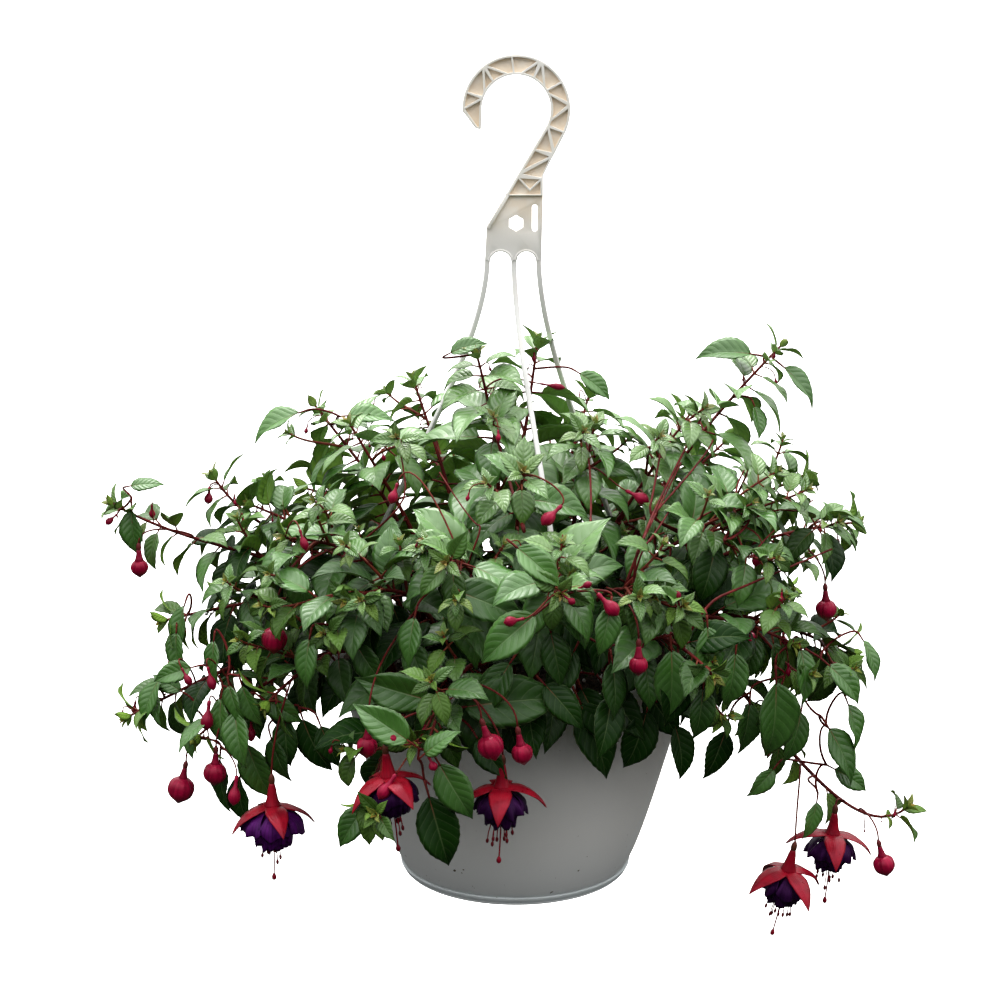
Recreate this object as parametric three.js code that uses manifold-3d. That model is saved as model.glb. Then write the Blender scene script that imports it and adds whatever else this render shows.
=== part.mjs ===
// A fuchsia in a white plastic hanging pot: a one-piece hook with three legs, the pot, its clip-on drip tray,
// the potting soil, and the plant as leafy shoots, open flowers and fat buds.
// Millimetres, +Z up, +Y to the back. The origin is where the hook bears on whatever it hangs from.
import * as THREE from "three";
import { mergeVertices } from "three/addons/utils/BufferGeometryUtils.js";
import Module from "manifold-3d";

const wasm = await Module();
wasm.setup();

// ---- driving dimensions ---------------------------------------------------------------------------------

const GAP = 0.3; // clearance between touching pieces
const HOOK_INNER_R = 22.7;
const HOOK_OUTER_R = 35.5;
const BEAM_DEPTH = 8; // front to back, over the flanges of the hook
const PLATE_DEPTH = 3.2;
const FLANGE = 1.9;
const RIB = 1.3;
const WEB = 1.8;
const RIM_Z = -387; // top face of the pot's rim
const BASE_Z = -550; // underside of the drip tray
const RIM_OUTER_R = 134;
const WALL_TOP_R = 128;
const WALL = 1.8;
const WALL_TAPER = 0.282; // radius gained per millimetre of height
const BASE_TUCK = 6; // how far the wall tucks in at its foot
const TUCK_HEIGHT = 18;
const TRAY_R = 81;
const TRAY_HEIGHT = 6.5;
const RIM_FLANGE = 2.4; // thickness of the rim
const RIM_SKIRT = 8; // height of the skirt that hangs from the rim
const SOIL_Z = -401;
const LEG_AZIMUTHS = [166, -74, 46]; // left, front and back right, in degrees
const LEG_TOP_X = [-19.1, -1.4, 15.1];
const LEG_TOP_Z = -122;
const LEG_RIM_R = 129.9;
const LEG_WIDTH = 3.4;
const LEG_DEPTH = 2.8;

const rad = (degrees) => (degrees * Math.PI) / 180;
const vec = (x, y, z) => new THREE.Vector3(x, y, z);
const UP = vec(0, 0, 1);

// ---- solids ---------------------------------------------------------------------------------------------

// A closed three.js geometry as a manifold-3d solid, which can be joined and cut.
function solidOf(geometry) {
  const bare = geometry.clone();
  bare.deleteAttribute("normal");
  bare.deleteAttribute("uv");
  const merged = mergeVertices(bare, 1e-4);
  return new wasm.Manifold(
    new wasm.Mesh({
      numProp: 3,
      vertProperties: new Float32Array(merged.attributes.position.array),
      triVerts: new Uint32Array(merged.index.array),
    }),
  );
}

// A solid back as a geometry that a mesh can show.
function geometryOf(solid) {
  const mesh = solid.getMesh();
  const geometry = new THREE.BufferGeometry()
    .setAttribute("position", new THREE.BufferAttribute(mesh.vertProperties, 3))
    .setIndex(new THREE.BufferAttribute(mesh.triVerts, 1));
  geometry.computeVertexNormals();
  return geometry;
}

// Joins rings of points into one closed surface. Each ring turns counterclockwise as seen from the next one.
// A ring of a single point closes that end, and any other end is capped flat.
function loft(rings) {
  const points = rings.flat();
  const starts = rings.map((_, i) => rings.slice(0, i).reduce((n, r) => n + r.length, 0));
  const index = [];
  for (let i = 0; i + 1 < rings.length; i++) {
    const [near, far] = [rings[i].length, rings[i + 1].length];
    for (let j = 0; j < Math.max(near, far); j++) {
      const a = starts[i] + (j % near);
      const b = starts[i] + ((j + 1) % near);
      const c = starts[i + 1] + ((j + 1) % far);
      const d = starts[i + 1] + (j % far);
      if (near > 1) index.push(a, b, c);
      if (far > 1) index.push(a, c, d);
    }
  }
  const last = rings.length - 1;
  for (let j = 1; j + 1 < rings[0].length; j++) index.push(starts[0], starts[0] + j + 1, starts[0] + j);
  for (let j = 1; j + 1 < rings[last].length; j++)
    index.push(starts[last], starts[last] + j, starts[last] + j + 1);
  const geometry = new THREE.BufferGeometry().setFromPoints(points).setIndex(index);
  return solidOf(geometry);
}

// A ring of points round a centre, in the plane of two directions.
function ring(centre, across, upward, radius, sides) {
  return Array.from({ length: sides }, (_, j) => {
    const turn = (2 * Math.PI * j) / sides;
    return centre
      .clone()
      .addScaledVector(across, radius * Math.cos(turn))
      .addScaledVector(upward, radius * Math.sin(turn));
  });
}

// Two directions square to a tangent, with across × upward along the tangent.
function framed(tangent, sideways) {
  const across = sideways.clone().addScaledVector(tangent, -sideways.dot(tangent)).normalize();
  return [across, tangent.clone().cross(across)];
}

const tangentAt = (points, i) =>
  points[Math.min(i + 1, points.length - 1)]
    .clone()
    .sub(points[Math.max(i - 1, 0)])
    .normalize();

// A round rod along points, with a radius at each.
function rod(points, radii, sides, sideways) {
  return loft(
    points.map((p, i) => {
      const [across, upward] = framed(tangentAt(points, i), sideways);
      return ring(p, across, upward, radii[i], sides);
    }),
  );
}

function bezier(a, b, c, d, steps) {
  return Array.from({ length: steps + 1 }, (_, i) => {
    const t = i / steps;
    const u = 1 - t;
    return a
      .clone()
      .multiplyScalar(u * u * u)
      .addScaledVector(b, 3 * u * u * t)
      .addScaledVector(c, 3 * u * t * t)
      .addScaledVector(d, t * t * t);
  });
}

// A flat outline in x and z, given thickness from front to back about y = 0.
function slab(outline, depth, holes = []) {
  const shape = new THREE.Shape(outline.map(([x, z]) => new THREE.Vector2(x, z)));
  shape.holes = holes.map((hole) => new THREE.Path(hole.map(([x, z]) => new THREE.Vector2(x, z))));
  const geometry = new THREE.ExtrudeGeometry(shape, { depth, bevelEnabled: false });
  geometry.translate(0, 0, -depth / 2).rotateX(Math.PI / 2);
  return solidOf(geometry);
}

// The same outline, turning counterclockwise.
function ccw(outline) {
  const area = THREE.ShapeUtils.area(outline.map(([x, z]) => new THREE.Vector2(x, z)));
  return area > 0 ? outline : [...outline].reverse();
}

const arc = (cx, cz, r, from, to, steps) =>
  Array.from({ length: steps + 1 }, (_, i) => {
    const turn = rad(from + ((to - from) * i) / steps);
    return [cx + r * Math.cos(turn), cz + r * Math.sin(turn)];
  });

function turned(profile, segments) {
  const points = profile.map(([r, z]) => new THREE.Vector2(r, z));
  const geometry = new THREE.LatheGeometry([...points, points[0]], segments);
  return solidOf(geometry.rotateX(Math.PI / 2));
}

const boxAt = (w, d, h, x, y, z, turn = 0) =>
  solidOf(new THREE.BoxGeometry(w, d, h).translate(x, y, z).rotateZ(rad(turn)));

// ---- the hanger: hook, plate and three legs, moulded as one ---------------------------------------------

const ARC_Z = -HOOK_INNER_R; // centre of the hook's arc
const TIP_ANGLE = 181; // the hook's free end, in degrees round the arc
const INNER_LEAVES_AT = -30.9; // where the shank runs on from the arc, inside and outside
const OUTER_LEAVES_AT = -27.4;
const OUTER_LEAVES = [HOOK_OUTER_R - 4, ARC_Z - 16.3]; // the same place outside, in millimetres
const SHANK_CORNER = [17.7, ARC_Z - 43]; // the shank meets the plate's right edge
const PLATE_SHOULDER = [-19.6, ARC_Z - 77]; // the shank's inner edge meets the plate's left edge
const PLATE_LEFT = -20.8;
const PLATE_RIGHT = 16.8;
const BEAM_END_Z = ARC_Z - 56;

// A point on the shank's inner edge at a given height.
function innerEdge(z) {
  const start = arc(0, ARC_Z, HOOK_INNER_R, INNER_LEAVES_AT, INNER_LEAVES_AT, 1)[0];
  const share = (start[1] - z) / (start[1] - PLATE_SHOULDER[1]);
  return [start[0] + share * (PLATE_SHOULDER[0] - start[0]), z];
}

// A point between the hook's two flanges: across is 0 at the inner one and 1 at the outer one. The station is
// an angle round the arc. Along the straight shank it is SHANK and the drop below the arc's centre, negative.
const SHANK = -100;
function bandPoint(station, across) {
  const inwards = FLANGE / 2;
  if (station > SHANK) {
    const r = HOOK_INNER_R + inwards + across * (HOOK_OUTER_R - HOOK_INNER_R - FLANGE);
    return [r * Math.cos(rad(station)), ARC_Z + r * Math.sin(rad(station))];
  }
  const z = ARC_Z + station - SHANK;
  if (across === 0) return [innerEdge(z)[0] + inwards * 1.2, z];
  const share = (z - OUTER_LEAVES[1]) / (SHANK_CORNER[1] - OUTER_LEAVES[1]);
  return [OUTER_LEAVES[0] + Math.min(share, 1) * (SHANK_CORNER[0] - OUTER_LEAVES[0]) - inwards, z];
}

// Where each rib meets the inner and the outer flange, from the hook's tip to the plate.
const RIBS = [
  [163, 179],
  [160, 161],
  [152, 129],
  [130, 127],
  [104, 125],
  [94, 95],
  [82, 65],
  [61, 63],
  [39, 60],
  [32, 31],
  [26, 7],
  [-17, 3],
  [-26, -25],
  [-29, -127],
  [-126, -130],
  [-140, -131],
  [-144, -145],
];
const LAST_CELL_FOOT = [9, ARC_Z - 52.5]; // the last two ribs meet here in a point
const TIP_CELL_END = [
  [-24, ARC_Z - 11.8],
  [-25.9, ARC_Z - 11.6],
];

// Moves each side of an outline inwards by a distance.
function inset(outline, distance) {
  const lines = outline.map(([x, z], i) => {
    const [nx, nz] = outline[(i + 1) % outline.length];
    const length = Math.hypot(nx - x, nz - z);
    const [ux, uz] = [(nx - x) / length, (nz - z) / length];
    return { x: x - uz * distance, z: z + ux * distance, ux, uz };
  });
  return lines.map((line, i) => {
    const before = lines[(i + lines.length - 1) % lines.length];
    const cross = before.ux * line.uz - before.uz * line.ux;
    const along = ((line.x - before.x) * line.uz - (line.z - before.z) * line.ux) / cross;
    return [before.x + along * before.ux, before.z + along * before.uz];
  });
}

// The hollow cells between neighbouring ribs, in the hook's tip and at the beam's end, as outlines.
function ribCells() {
  const cells = RIBS.slice(1).map(([inner, outer], i) => {
    const [lastInner, lastOuter] = RIBS[i];
    const between = (a, b, across) => {
      const stops = Math.min(a, b) > SHANK && Math.abs(a - b) > 16 ? [a, (a + b) / 2, b] : [a, b];
      return (Math.abs(a - b) < 5 ? [(a + b) / 2] : stops).map((station) => bandPoint(station, across));
    };
    return [...between(lastInner, inner, 0), ...between(outer, lastOuter, 1)];
  });
  const [tipInner, tipOuter] = RIBS[0];
  cells.push([bandPoint(tipInner, 0), bandPoint(177, 0), ...TIP_CELL_END, bandPoint(tipOuter, 1)]);
  const [lastInner, lastOuter] = RIBS[RIBS.length - 1];
  const [a, b] = [bandPoint(lastInner, 0), bandPoint(lastOuter, 1)];
  const end = BEAM_END_Z - ARC_Z + SHANK;
  cells.push([a, LAST_CELL_FOOT, b], [a, bandPoint(end, 0), bandPoint(end, 1), b, LAST_CELL_FOOT]);
  return cells.map((cell) => inset(ccw(cell), RIB / 2));
}

function hookBeam() {
  const outline = [
    ...arc(0, ARC_Z, HOOK_OUTER_R, TIP_ANGLE, OUTER_LEAVES_AT, 26),
    SHANK_CORNER,
    [SHANK_CORNER[0], BEAM_END_Z],
    innerEdge(BEAM_END_Z),
    ...arc(0, ARC_Z, HOOK_INNER_R, INNER_LEAVES_AT, 178, 22),
    [-23.2, ARC_Z - 12.6],
    [-26.6, ARC_Z - 12.2],
  ];
  const pocketDepth = (BEAM_DEPTH - WEB) / 2;
  let beam = slab(ccw(outline), BEAM_DEPTH);
  for (const cell of ribCells()) {
    const pocket = slab(cell, pocketDepth + 1);
    const reach = (BEAM_DEPTH - pocketDepth + 1) / 2;
    beam = beam.subtract(pocket.translate([0, reach, 0]));
    beam = beam.subtract(pocket.translate([0, -reach, 0]));
  }
  return beam;
}

// The flat plate with its label hole, its slot and the two arches between the legs.
function hangerPlate() {
  const archTop = ARC_Z - 93.3;
  const arches = [
    [-10.3, 7.1],
    [6.8, 6.5],
  ];
  const bottom = LEG_TOP_Z;
  const outline = [
    [PLATE_LEFT, bottom],
    [PLATE_LEFT + LEG_WIDTH, bottom],
    ...arches.flatMap(([cx, r], i) => [
      ...arc(cx, archTop - r, r, 180, 0, 10),
      ...(i === 0
        ? [
            [-3.1, bottom],
            [0.3, bottom],
          ]
        : []),
    ]),
    [PLATE_RIGHT - LEG_WIDTH, bottom],
    [PLATE_RIGHT, bottom],
    [SHANK_CORNER[0], BEAM_END_Z - 8],
    [SHANK_CORNER[0], BEAM_END_Z + 1],
    innerEdge(BEAM_END_Z + 1),
    PLATE_SHOULDER,
  ];
  const labelHole = arc(0, ARC_Z - 74.5, 5.4, 30, 330, 5);
  const slot = [
    ...arc(12.4, ARC_Z - 64, 1.9, 0, 180, 4),
    ...arc(12.4, ARC_Z - 78, 1.9, 180, 360, 4),
  ];
  const plate = slab(ccw(outline), PLATE_DEPTH, [labelHole, slot]);
  const [top, low] = [innerEdge(BEAM_END_Z + 1), PLATE_SHOULDER];
  const ridge = [top, low, [low[0] + 1.6, low[1] - 1.2], [top[0] + 1.9, top[1] - 1.2]];
  const flange = slab(ccw(ridge), BEAM_DEPTH);
  return plate.add(flange);
}

// The line that each leg follows, from the plate down and out to the rim.
const legLines = LEG_AZIMUTHS.map((azimuth, i) => {
  const outward = vec(Math.cos(rad(azimuth)), Math.sin(rad(azimuth)), 0);
  const top = vec(LEG_TOP_X[i], 0, LEG_TOP_Z);
  const foot = outward.clone().multiplyScalar(LEG_RIM_R).setZ(RIM_Z + 8);
  const shoulder = top.clone().addScaledVector(outward, 2).add(vec(0, 0, -58));
  const knee = foot.clone().addScaledVector(outward, -57).add(vec(0, 0, 120));
  return bezier(top, shoulder, knee, foot, 14);
});

function hangerLeg(i) {
  const azimuth = rad(LEG_AZIMUTHS[i]);
  const outward = vec(Math.cos(azimuth), Math.sin(azimuth), 0);
  const tangential = vec(Math.sin(azimuth), -Math.cos(azimuth), 0);
  if (tangential.x < 0) tangential.negate();
  const line = legLines[i];
  const below = line[line.length - 1].clone().setZ(RIM_Z - RIM_FLANGE - GAP - 2);
  const stops = [line[0].clone().setZ(LEG_TOP_Z + 1.5), ...line, below];
  const sections = stops.map((p, k) => {
    const share = Math.min(1, Math.max(0, (k - 1) / (line.length - 1)));
    const sideways = vec(1, 0, 0).lerp(tangential, share).normalize();
    const tangent = k < 2 || k > line.length - 1 ? vec(0, 0, -1) : tangentAt(stops, k);
    const [across, upward] = framed(tangent, sideways);
    const corner = (a, b) =>
      p
        .clone()
        .addScaledVector(across, (a * LEG_WIDTH) / 2)
        .addScaledVector(upward, (b * LEG_DEPTH) / 2);
    return [corner(1, 1), corner(-1, 1), corner(-1, -1), corner(1, -1)];
  });
  const wide = LEG_WIDTH + 4;
  const catchZ = RIM_Z - RIM_FLANGE - GAP - 1;
  const catches = boxAt(LEG_DEPTH, wide, 2, LEG_RIM_R, 0, catchZ, LEG_AZIMUTHS[i]);
  const shoulders = boxAt(LEG_DEPTH + 2, wide, 2, LEG_RIM_R, 0, RIM_Z + GAP + 1, LEG_AZIMUTHS[i]);
  return loft(sections).add(catches).add(shoulders);
}

function hanger() {
  return [0, 1, 2].reduce((made, i) => made.add(hangerLeg(i)), hookBeam().add(hangerPlate()));
}

// ---- the pot, its drip tray and the soil ----------------------------------------------------------------

const POT_FOOT_Z = BASE_Z + WALL + GAP;
const FOOT_HEIGHT = 4; // the ring that lifts the pot's floor off the tray
const DRAIN_HOLE_R = 4;
const DRAIN_HOLES_AT = 54; // radius of the circle of drain holes

// Outer radius of the pot's wall at a height: a plain taper, tucked in at its foot.
function wallRadius(z) {
  const height = z - BASE_Z;
  return WALL_TOP_R - WALL_TAPER * (RIM_Z - z) - BASE_TUCK * Math.exp(-height / TUCK_HEIGHT);
}

function pot() {
  const seam = BASE_Z + TRAY_HEIGHT + GAP; // the wall stands on the level of the tray's edge
  const heights = [seam, BASE_Z + 14, BASE_Z + 30, BASE_Z + 56, RIM_Z - RIM_SKIRT];
  const footR = TRAY_R - WALL - 2 * GAP;
  const floorZ = POT_FOOT_Z + FOOT_HEIGHT;
  const profile = [
    [0, floorZ - WALL],
    [footR - FOOT_HEIGHT - 2, floorZ - WALL],
    [footR - FOOT_HEIGHT, POT_FOOT_Z],
    [footR, POT_FOOT_Z],
    [footR, seam],
    ...heights.map((z) => [wallRadius(z), z]),
    [wallRadius(RIM_Z - RIM_FLANGE), RIM_Z - RIM_FLANGE],
    [RIM_OUTER_R - WALL, RIM_Z - RIM_FLANGE],
    [RIM_OUTER_R - WALL, RIM_Z - RIM_SKIRT],
    [RIM_OUTER_R, RIM_Z - RIM_SKIRT],
    [RIM_OUTER_R, RIM_Z],
    [WALL_TOP_R - WALL, RIM_Z],
    ...[...heights].reverse().map((z) => [wallRadius(z) - WALL, z]),
    [footR - 2 * WALL, floorZ],
    [0, floorZ],
  ];
  let made = turned(profile, 40);
  const slot = [LEG_DEPTH + 2 * GAP, LEG_WIDTH + 4 * GAP, 3 * RIM_FLANGE];
  for (const azimuth of LEG_AZIMUTHS) made = made.subtract(boxAt(...slot, LEG_RIM_R, 0, RIM_Z, azimuth));
  for (let i = 0; i < 6; i++) {
    const hole = new THREE.CylinderGeometry(DRAIN_HOLE_R, DRAIN_HOLE_R, 12, 6).rotateX(Math.PI / 2);
    hole.translate(DRAIN_HOLES_AT, 0, floorZ - 1).rotateZ(rad(60 * i + 30));
    made = made.subtract(solidOf(hole));
  }
  return made;
}

function dripTray() {
  const top = BASE_Z + TRAY_HEIGHT;
  const profile = [
    [0, BASE_Z],
    [TRAY_R - 4.6, BASE_Z],
    [TRAY_R - 2.4, BASE_Z + 1.6],
    [TRAY_R, top],
    [TRAY_R - WALL, top],
    [TRAY_R - WALL, BASE_Z + WALL],
    [0, BASE_Z + WALL],
  ];
  // Three notches to prise it off by.
  return [0, 1, 2].reduce(
    (made, i) => made.subtract(boxAt(6, 13, 2.4, TRAY_R - 0.6, 0, BASE_Z, 120 * i - 67)),
    turned(profile, 40),
  );
}

function soil() {
  const stops = [-402, -430, -480, -520];
  const bottom = POT_FOOT_Z + 4 + GAP;
  const inside = (z) => wallRadius(z) - WALL - 1.2;
  return turned(
    [
      [0, bottom],
      [TRAY_R - 6, bottom],
      ...[...stops].reverse().map((z) => [inside(z), z]),
      [inside(SOIL_Z) - 3, SOIL_Z],
      [0, SOIL_Z],
    ],
    32,
  );
}

// ---- the plant ------------------------------------------------------------------------------------------

const SHOOT_STEPS = 10; // straight stretches along a shoot
const PETIOLE = 0.17; // the leaf stalk's share of a leaf's length
const LEAF_CLEARANCE = 7.5;
const LEAVES_A_SHOOT = 7;

// Each shoot: its tip x, y, z, the radius of its foot on the soil, how many degrees round the pot the foot
// lies from the tip, how high the shoot rises before it arches, and how steeply its tip points up, in
// degrees. A last number is the size of its leaves beside the others.
const SHOOTS = [
  [-26, -34, -180, 22, 0, 130, 70],
  [15, 26, -180, 18, 40, 130, 78],
  [54, 95, -228, 44, 0, 100, 60],
  [52, -38, -226, 42, 0, 95, 76],
  [180, 14, -182, 62, 0, 76, 46, 0.8],
  [124, 58, -236, 62, 4, 80, 52],
  [102, -22, -244, 48, -10, 80, 58],
  [152, 92, -264, 80, 4, 70, 34],
  [206, 52, -280, 88, 0, 66, 18],
  [232, -8, -300, 92, 2, 66, 6, 0.85],
  [-140, 50, -230, 70, -4, 85, 50],
  [-112, -12, -230, 56, 0, 90, 62],
  [-72, 66, -214, 48, 0, 90, 66],
  [-180, -14, -286, 98, 1, 72, 24],
  [-206, 0, -270, 92, -1, 92, 60],
  [-267, -50, -277, 88, 1, 86, 34, 0.66],
  [-232, -76, -350, 90, 0, 72, -10, 0.8],
  [-256, -90, -412, 110, 3, 58, -24, 0.7],
  [-208, -108, -420, 108, 4, 56, -40, 0.7],
  [-160, -130, -390, 106, 2, 60, -40, 0.75],
  [26, -192, -300, 92, 0, 66, -6],
  [-54, -194, -392, 104, 6, 58, -44],
  [-94, -176, -440, 108, 3, 56, -62],
  [-44, -170, -286, 80, 0, 76, 10],
  [264, -66, -484, 112, -2, 98, 46, 0.5],
  [176, -122, -352, 102, 2, 64, -16],
  [120, -176, -356, 102, 0, 62, -26],
  [84, -154, -312, 84, 0, 70, 0],
  [226, -34, -386, 106, 0, 60, -28],
  [-106, -150, -316, 88, 3, 68, -6],
  [4, -112, -242, 60, -4, 90, 38],
  [140, -84, -284, 74, 0, 74, 18],
  [-150, -84, -292, 82, 0, 74, 10],
  [122, 176, -306, 90, 1, 66, 2],
  [36, 198, -300, 88, 0, 66, 4],
  [-64, 186, -296, 86, 0, 66, 6],
  [-156, 140, -310, 92, 0, 64, 0],
  [200, 110, -382, 106, 0, 60, -30],
  [-210, 78, -380, 106, 0, 60, -28],
];

// Each open flower: its name, the shoot that it hangs from, how far back from the shoot's tip, its place,
// how far round its sepals are turned, and its lean to the side and to the front, in degrees.
const FLOWERS = [
  ["flower_left", 20, 22, [-157, -134, -436], 20, [0, 0]],
  ["flower_front_left", 22, 20, [-81, -196, -394], 30, [-6, 4]],
  ["flower_front", 22, 42, [-9, -182, -406], 0, [2, 2]],
  ["flower_right", 25, 46, [215, -72, -480], 0, [4, 2]],
  ["flower_right_low", 25, 88, [184, -104, -494], 28, [10, 8]],
  ["flower_back", 35, 40, [-6, 214, -420], 40, [0, -4]],
];

// Each fat bud: its name, the shoot, how far back from the tip, its place, its diameter and its lean.
const BUDS = [
  ["bud_far_left", 16, 58, [-249, -60, -302], 11.5, [0, 0]],
  ["bud_left_high", 33, 40, [-153, -124, -330], 16.5, [4, 0]],
  ["bud_left_low", 19, 14, [-216, -104, -438], 17.5, [12, 0]],
  ["bud_left_inner", 19, 34, [-194, -120, -422], 15, [4, 0]],
  ["bud_front_left", 30, 70, [-92, -174, -386], 13, [4, 0]],
  ["bud_front", 22, 36, [-22, -198, -377], 16, [-18, 0]],
  ["bud_front_small", 22, 48, [0, -190, -385], 13, [-10, 0]],
  ["bud_front_right", 28, 50, [74, -180, -332], 11.5, [0, 0]],
  ["bud_right", 10, 50, [207, -44, -334], 14, [-4, 0]],
  ["bud_right_low", 25, 34, [242, -86, -500], 14.5, [-15, 0]],
  ["bud_back", 38, 40, [180, 120, -404], 14, [0, 0]],
];

// A repeatable stream of numbers from 0 to 1.
function randomStream(seed) {
  let state = (seed * 2654435761) % 4294967296;
  const next = () => {
    state = (state * 1664525 + 1013904223) % 4294967296;
    return state / 4294967296;
  };
  next();
  next();
  return next;
}

// The line that a shoot follows, from the soil to its tip.
function shootLine([x, y, z, footR, footTurn, rise, pitch, leafScale = 1], random) {
  const tip = vec(x, y, z);
  const reach = Math.hypot(x, y);
  const outward = vec(x / reach, y / reach, 0);
  const sideways = vec(-outward.y, outward.x, 0);
  const foot = outward.clone().applyAxisAngle(UP, rad(footTurn)).multiplyScalar(footR).setZ(SOIL_Z);
  const span = tip.distanceTo(foot);
  const heading = outward
    .clone()
    .multiplyScalar(Math.cos(rad(pitch)))
    .addScaledVector(UP, Math.sin(rad(pitch)));
  const bow = (random() - 0.5) * 8;
  const shoulder = foot.clone().addScaledVector(UP, rise);
  const neck = tip
    .clone()
    .addScaledVector(heading, -0.42 * span)
    .addScaledVector(sideways, bow);
  return { outward, sideways, leafScale, points: bezier(foot, shoulder, neck, tip, SHOOT_STEPS) };
}

// The place and tangent at a distance back from the shoot's tip.
function backFromTip(points, distance) {
  let left = distance;
  for (let i = points.length - 1; i > 0; i--) {
    const step = points[i].distanceTo(points[i - 1]);
    if (left <= step) {
      const at = points[i].clone().lerp(points[i - 1], left / step);
      const tangent = points[i].clone().sub(points[i - 1]).normalize();
      return { at, tangent, share: (i - left / step) / SHOOT_STEPS };
    }
    left -= step;
  }
  return null;
}

// Radius of a shoot's stem, thicker at its foot.
const stemRadius = (share) => 2.3 - 1.3 * share;

// A point on a leaf: along from 0 at the stem to 1 at the tip, across in millimetres, lifted above the blade.
function leafPoint(leaf, along, across, lift) {
  const turn = leaf.bend * along;
  const forward = (leaf.length * Math.sin(turn)) / leaf.bend;
  const sunk = (leaf.length * (1 - Math.cos(turn))) / leaf.bend;
  return leaf.at
    .clone()
    .addScaledVector(leaf.axis, forward + lift * Math.sin(turn))
    .addScaledVector(leaf.normal, lift * Math.cos(turn) - sunk)
    .addScaledVector(leaf.across, across);
}

// Points spread over a leaf, which keep other leaves away.
function leafFeelers(leaf) {
  const half = leaf.width / 2;
  const middle = [0.12, 0.24, 0.36, 0.48, 0.6, 0.72, 0.84, 0.97].map((along) => [along, 0]);
  const sides = [0.32, 0.44, 0.56, 0.68].flatMap((along) => [
    [along, 0.7 * half],
    [along, -0.7 * half],
  ]);
  return [...middle, ...sides].map(([along, across]) => leafPoint(leaf, along, across, 0));
}

// Remembers where things are, in cells, and says whether a point is too near to something of another owner.
const CELL = 8;
class Room {
  cells = new Map();
  key(p, dx = 0, dy = 0, dz = 0) {
    return [Math.floor(p.x / CELL) + dx, Math.floor(p.y / CELL) + dy, Math.floor(p.z / CELL) + dz].join();
  }
  add(p, owner) {
    const key = this.key(p);
    if (!this.cells.has(key)) this.cells.set(key, []);
    this.cells.get(key).push([p, owner]);
  }
  crowded(p, owners) {
    for (let dx = -1; dx <= 1; dx++)
      for (let dy = -1; dy <= 1; dy++)
        for (let dz = -1; dz <= 1; dz++)
          for (const [q, owner] of this.cells.get(this.key(p, dx, dy, dz)) ?? [])
            if (!owners.includes(owner) && p.distanceToSquared(q) < LEAF_CLEARANCE ** 2) return true;
    return false;
  }
}

// True where a leaf would be in the soil or the pot.
function inPot(p) {
  const r = Math.hypot(p.x, p.y);
  if (p.z > RIM_Z + 6) return false;
  if (p.z > RIM_Z - 10) return r < RIM_OUTER_R + 6;
  return r < wallRadius(p.z) + 6;
}

// One leaf at a node of a shoot. Each try turns or shrinks it a little differently.
const TRIES = [
  [0, 0, 1],
  [0.4, 0, 1],
  [-0.4, 0, 1],
  [0, 0.5, 0.95],
  [0.7, 0.3, 0.85],
  [-0.7, 0.3, 0.85],
];
function leafAt(node, side, outward, size, dice, [turn, droop, shrink]) {
  const axis = side
    .clone()
    .addScaledVector(node.tangent, 0.55 + turn)
    .addScaledVector(outward, 0.25)
    .addScaledVector(UP, -0.1 - 0.45 * dice[0] - droop)
    .normalize();
  const facing = UP.clone()
    .addScaledVector(outward, 0.35 + 0.5 * dice[1])
    .addScaledVector(side, 0.4 * (dice[2] - 0.5));
  const normal = facing.addScaledVector(axis, -facing.dot(axis)).normalize();
  const length = size * shrink * (0.88 + 0.24 * dice[3]);
  return {
    at: node.at.clone(),
    axis,
    normal,
    across: axis.clone().cross(normal),
    length,
    width: length * (0.44 + 0.1 * dice[4]),
    bend: 0.5 + 0.7 * dice[5],
  };
}

// Distances of the leaf pairs back from a shoot's tip, and the length of the leaves there.
const PAIRS = [
  [16, 34],
  [36, 50],
  [62, 62],
  [92, 68],
  [124, 70],
  [158, 70],
];

// The leaves of one shoot that find room, in pairs that turn a quarter from one pair to the next.
function leavesOf(shoot, name, random, room) {
  const phase = random() * Math.PI;
  const kept = [];
  PAIRS.forEach(([distance, size], pair) => {
    const node = backFromTip(shoot.points, distance);
    if (!node) return;
    const [across, upward] = framed(node.tangent, shoot.sideways);
    const turn = phase + (pair * Math.PI) / 2;
    for (const sign of [1, -1]) {
      const dice = Array.from({ length: 6 }, random);
      const side = across
        .clone()
        .multiplyScalar(sign * Math.cos(turn))
        .addScaledVector(upward, sign * Math.sin(turn));
      if (node.share < 0.2 || kept.length >= LEAVES_A_SHOOT) continue;
      const owner = `${name} pair ${pair}`;
      const fits = (leaf) => leafFeelers(leaf).every((p) => !inPot(p) && !room.crowded(p, [name, owner]));
      const long = size * shoot.leafScale;
      const leaf = TRIES.map((t) => leafAt(node, side, shoot.outward, long, dice, t)).find(fits);
      if (!leaf) continue;
      leafFeelers(leaf).forEach((p) => room.add(p, owner));
      kept.push(leaf);
    }
  });
  return kept;
}

// A leaf as a thin, slightly folded solid, from inside the stem to its point.
function leafSolid(leaf) {
  const fold = 0.22;
  const section = (along, half, thick) => [
    leafPoint(leaf, along, 0, -thick / 2),
    leafPoint(leaf, along, -half, half * fold),
    leafPoint(leaf, along, 0, thick / 2),
    leafPoint(leaf, along, half, half * fold),
  ];
  return loft([
    [leafPoint(leaf, 0, 0, 0)],
    section(PETIOLE, 1, 1.6),
    section(0.5, leaf.width / 2, 1.6),
    [leafPoint(leaf, 1, 0, 0)],
  ]);
}

function stemSolid(shoot) {
  const rings = shoot.points.map((p, i) => {
    const centre = i ? p : p.clone().add(vec(0, 0, GAP));
    const tangent = i ? tangentAt(shoot.points, i) : UP;
    return ring(centre, ...framed(tangent, shoot.sideways), stemRadius(i / SHOOT_STEPS), 5);
  });
  return loft(rings);
}

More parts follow.
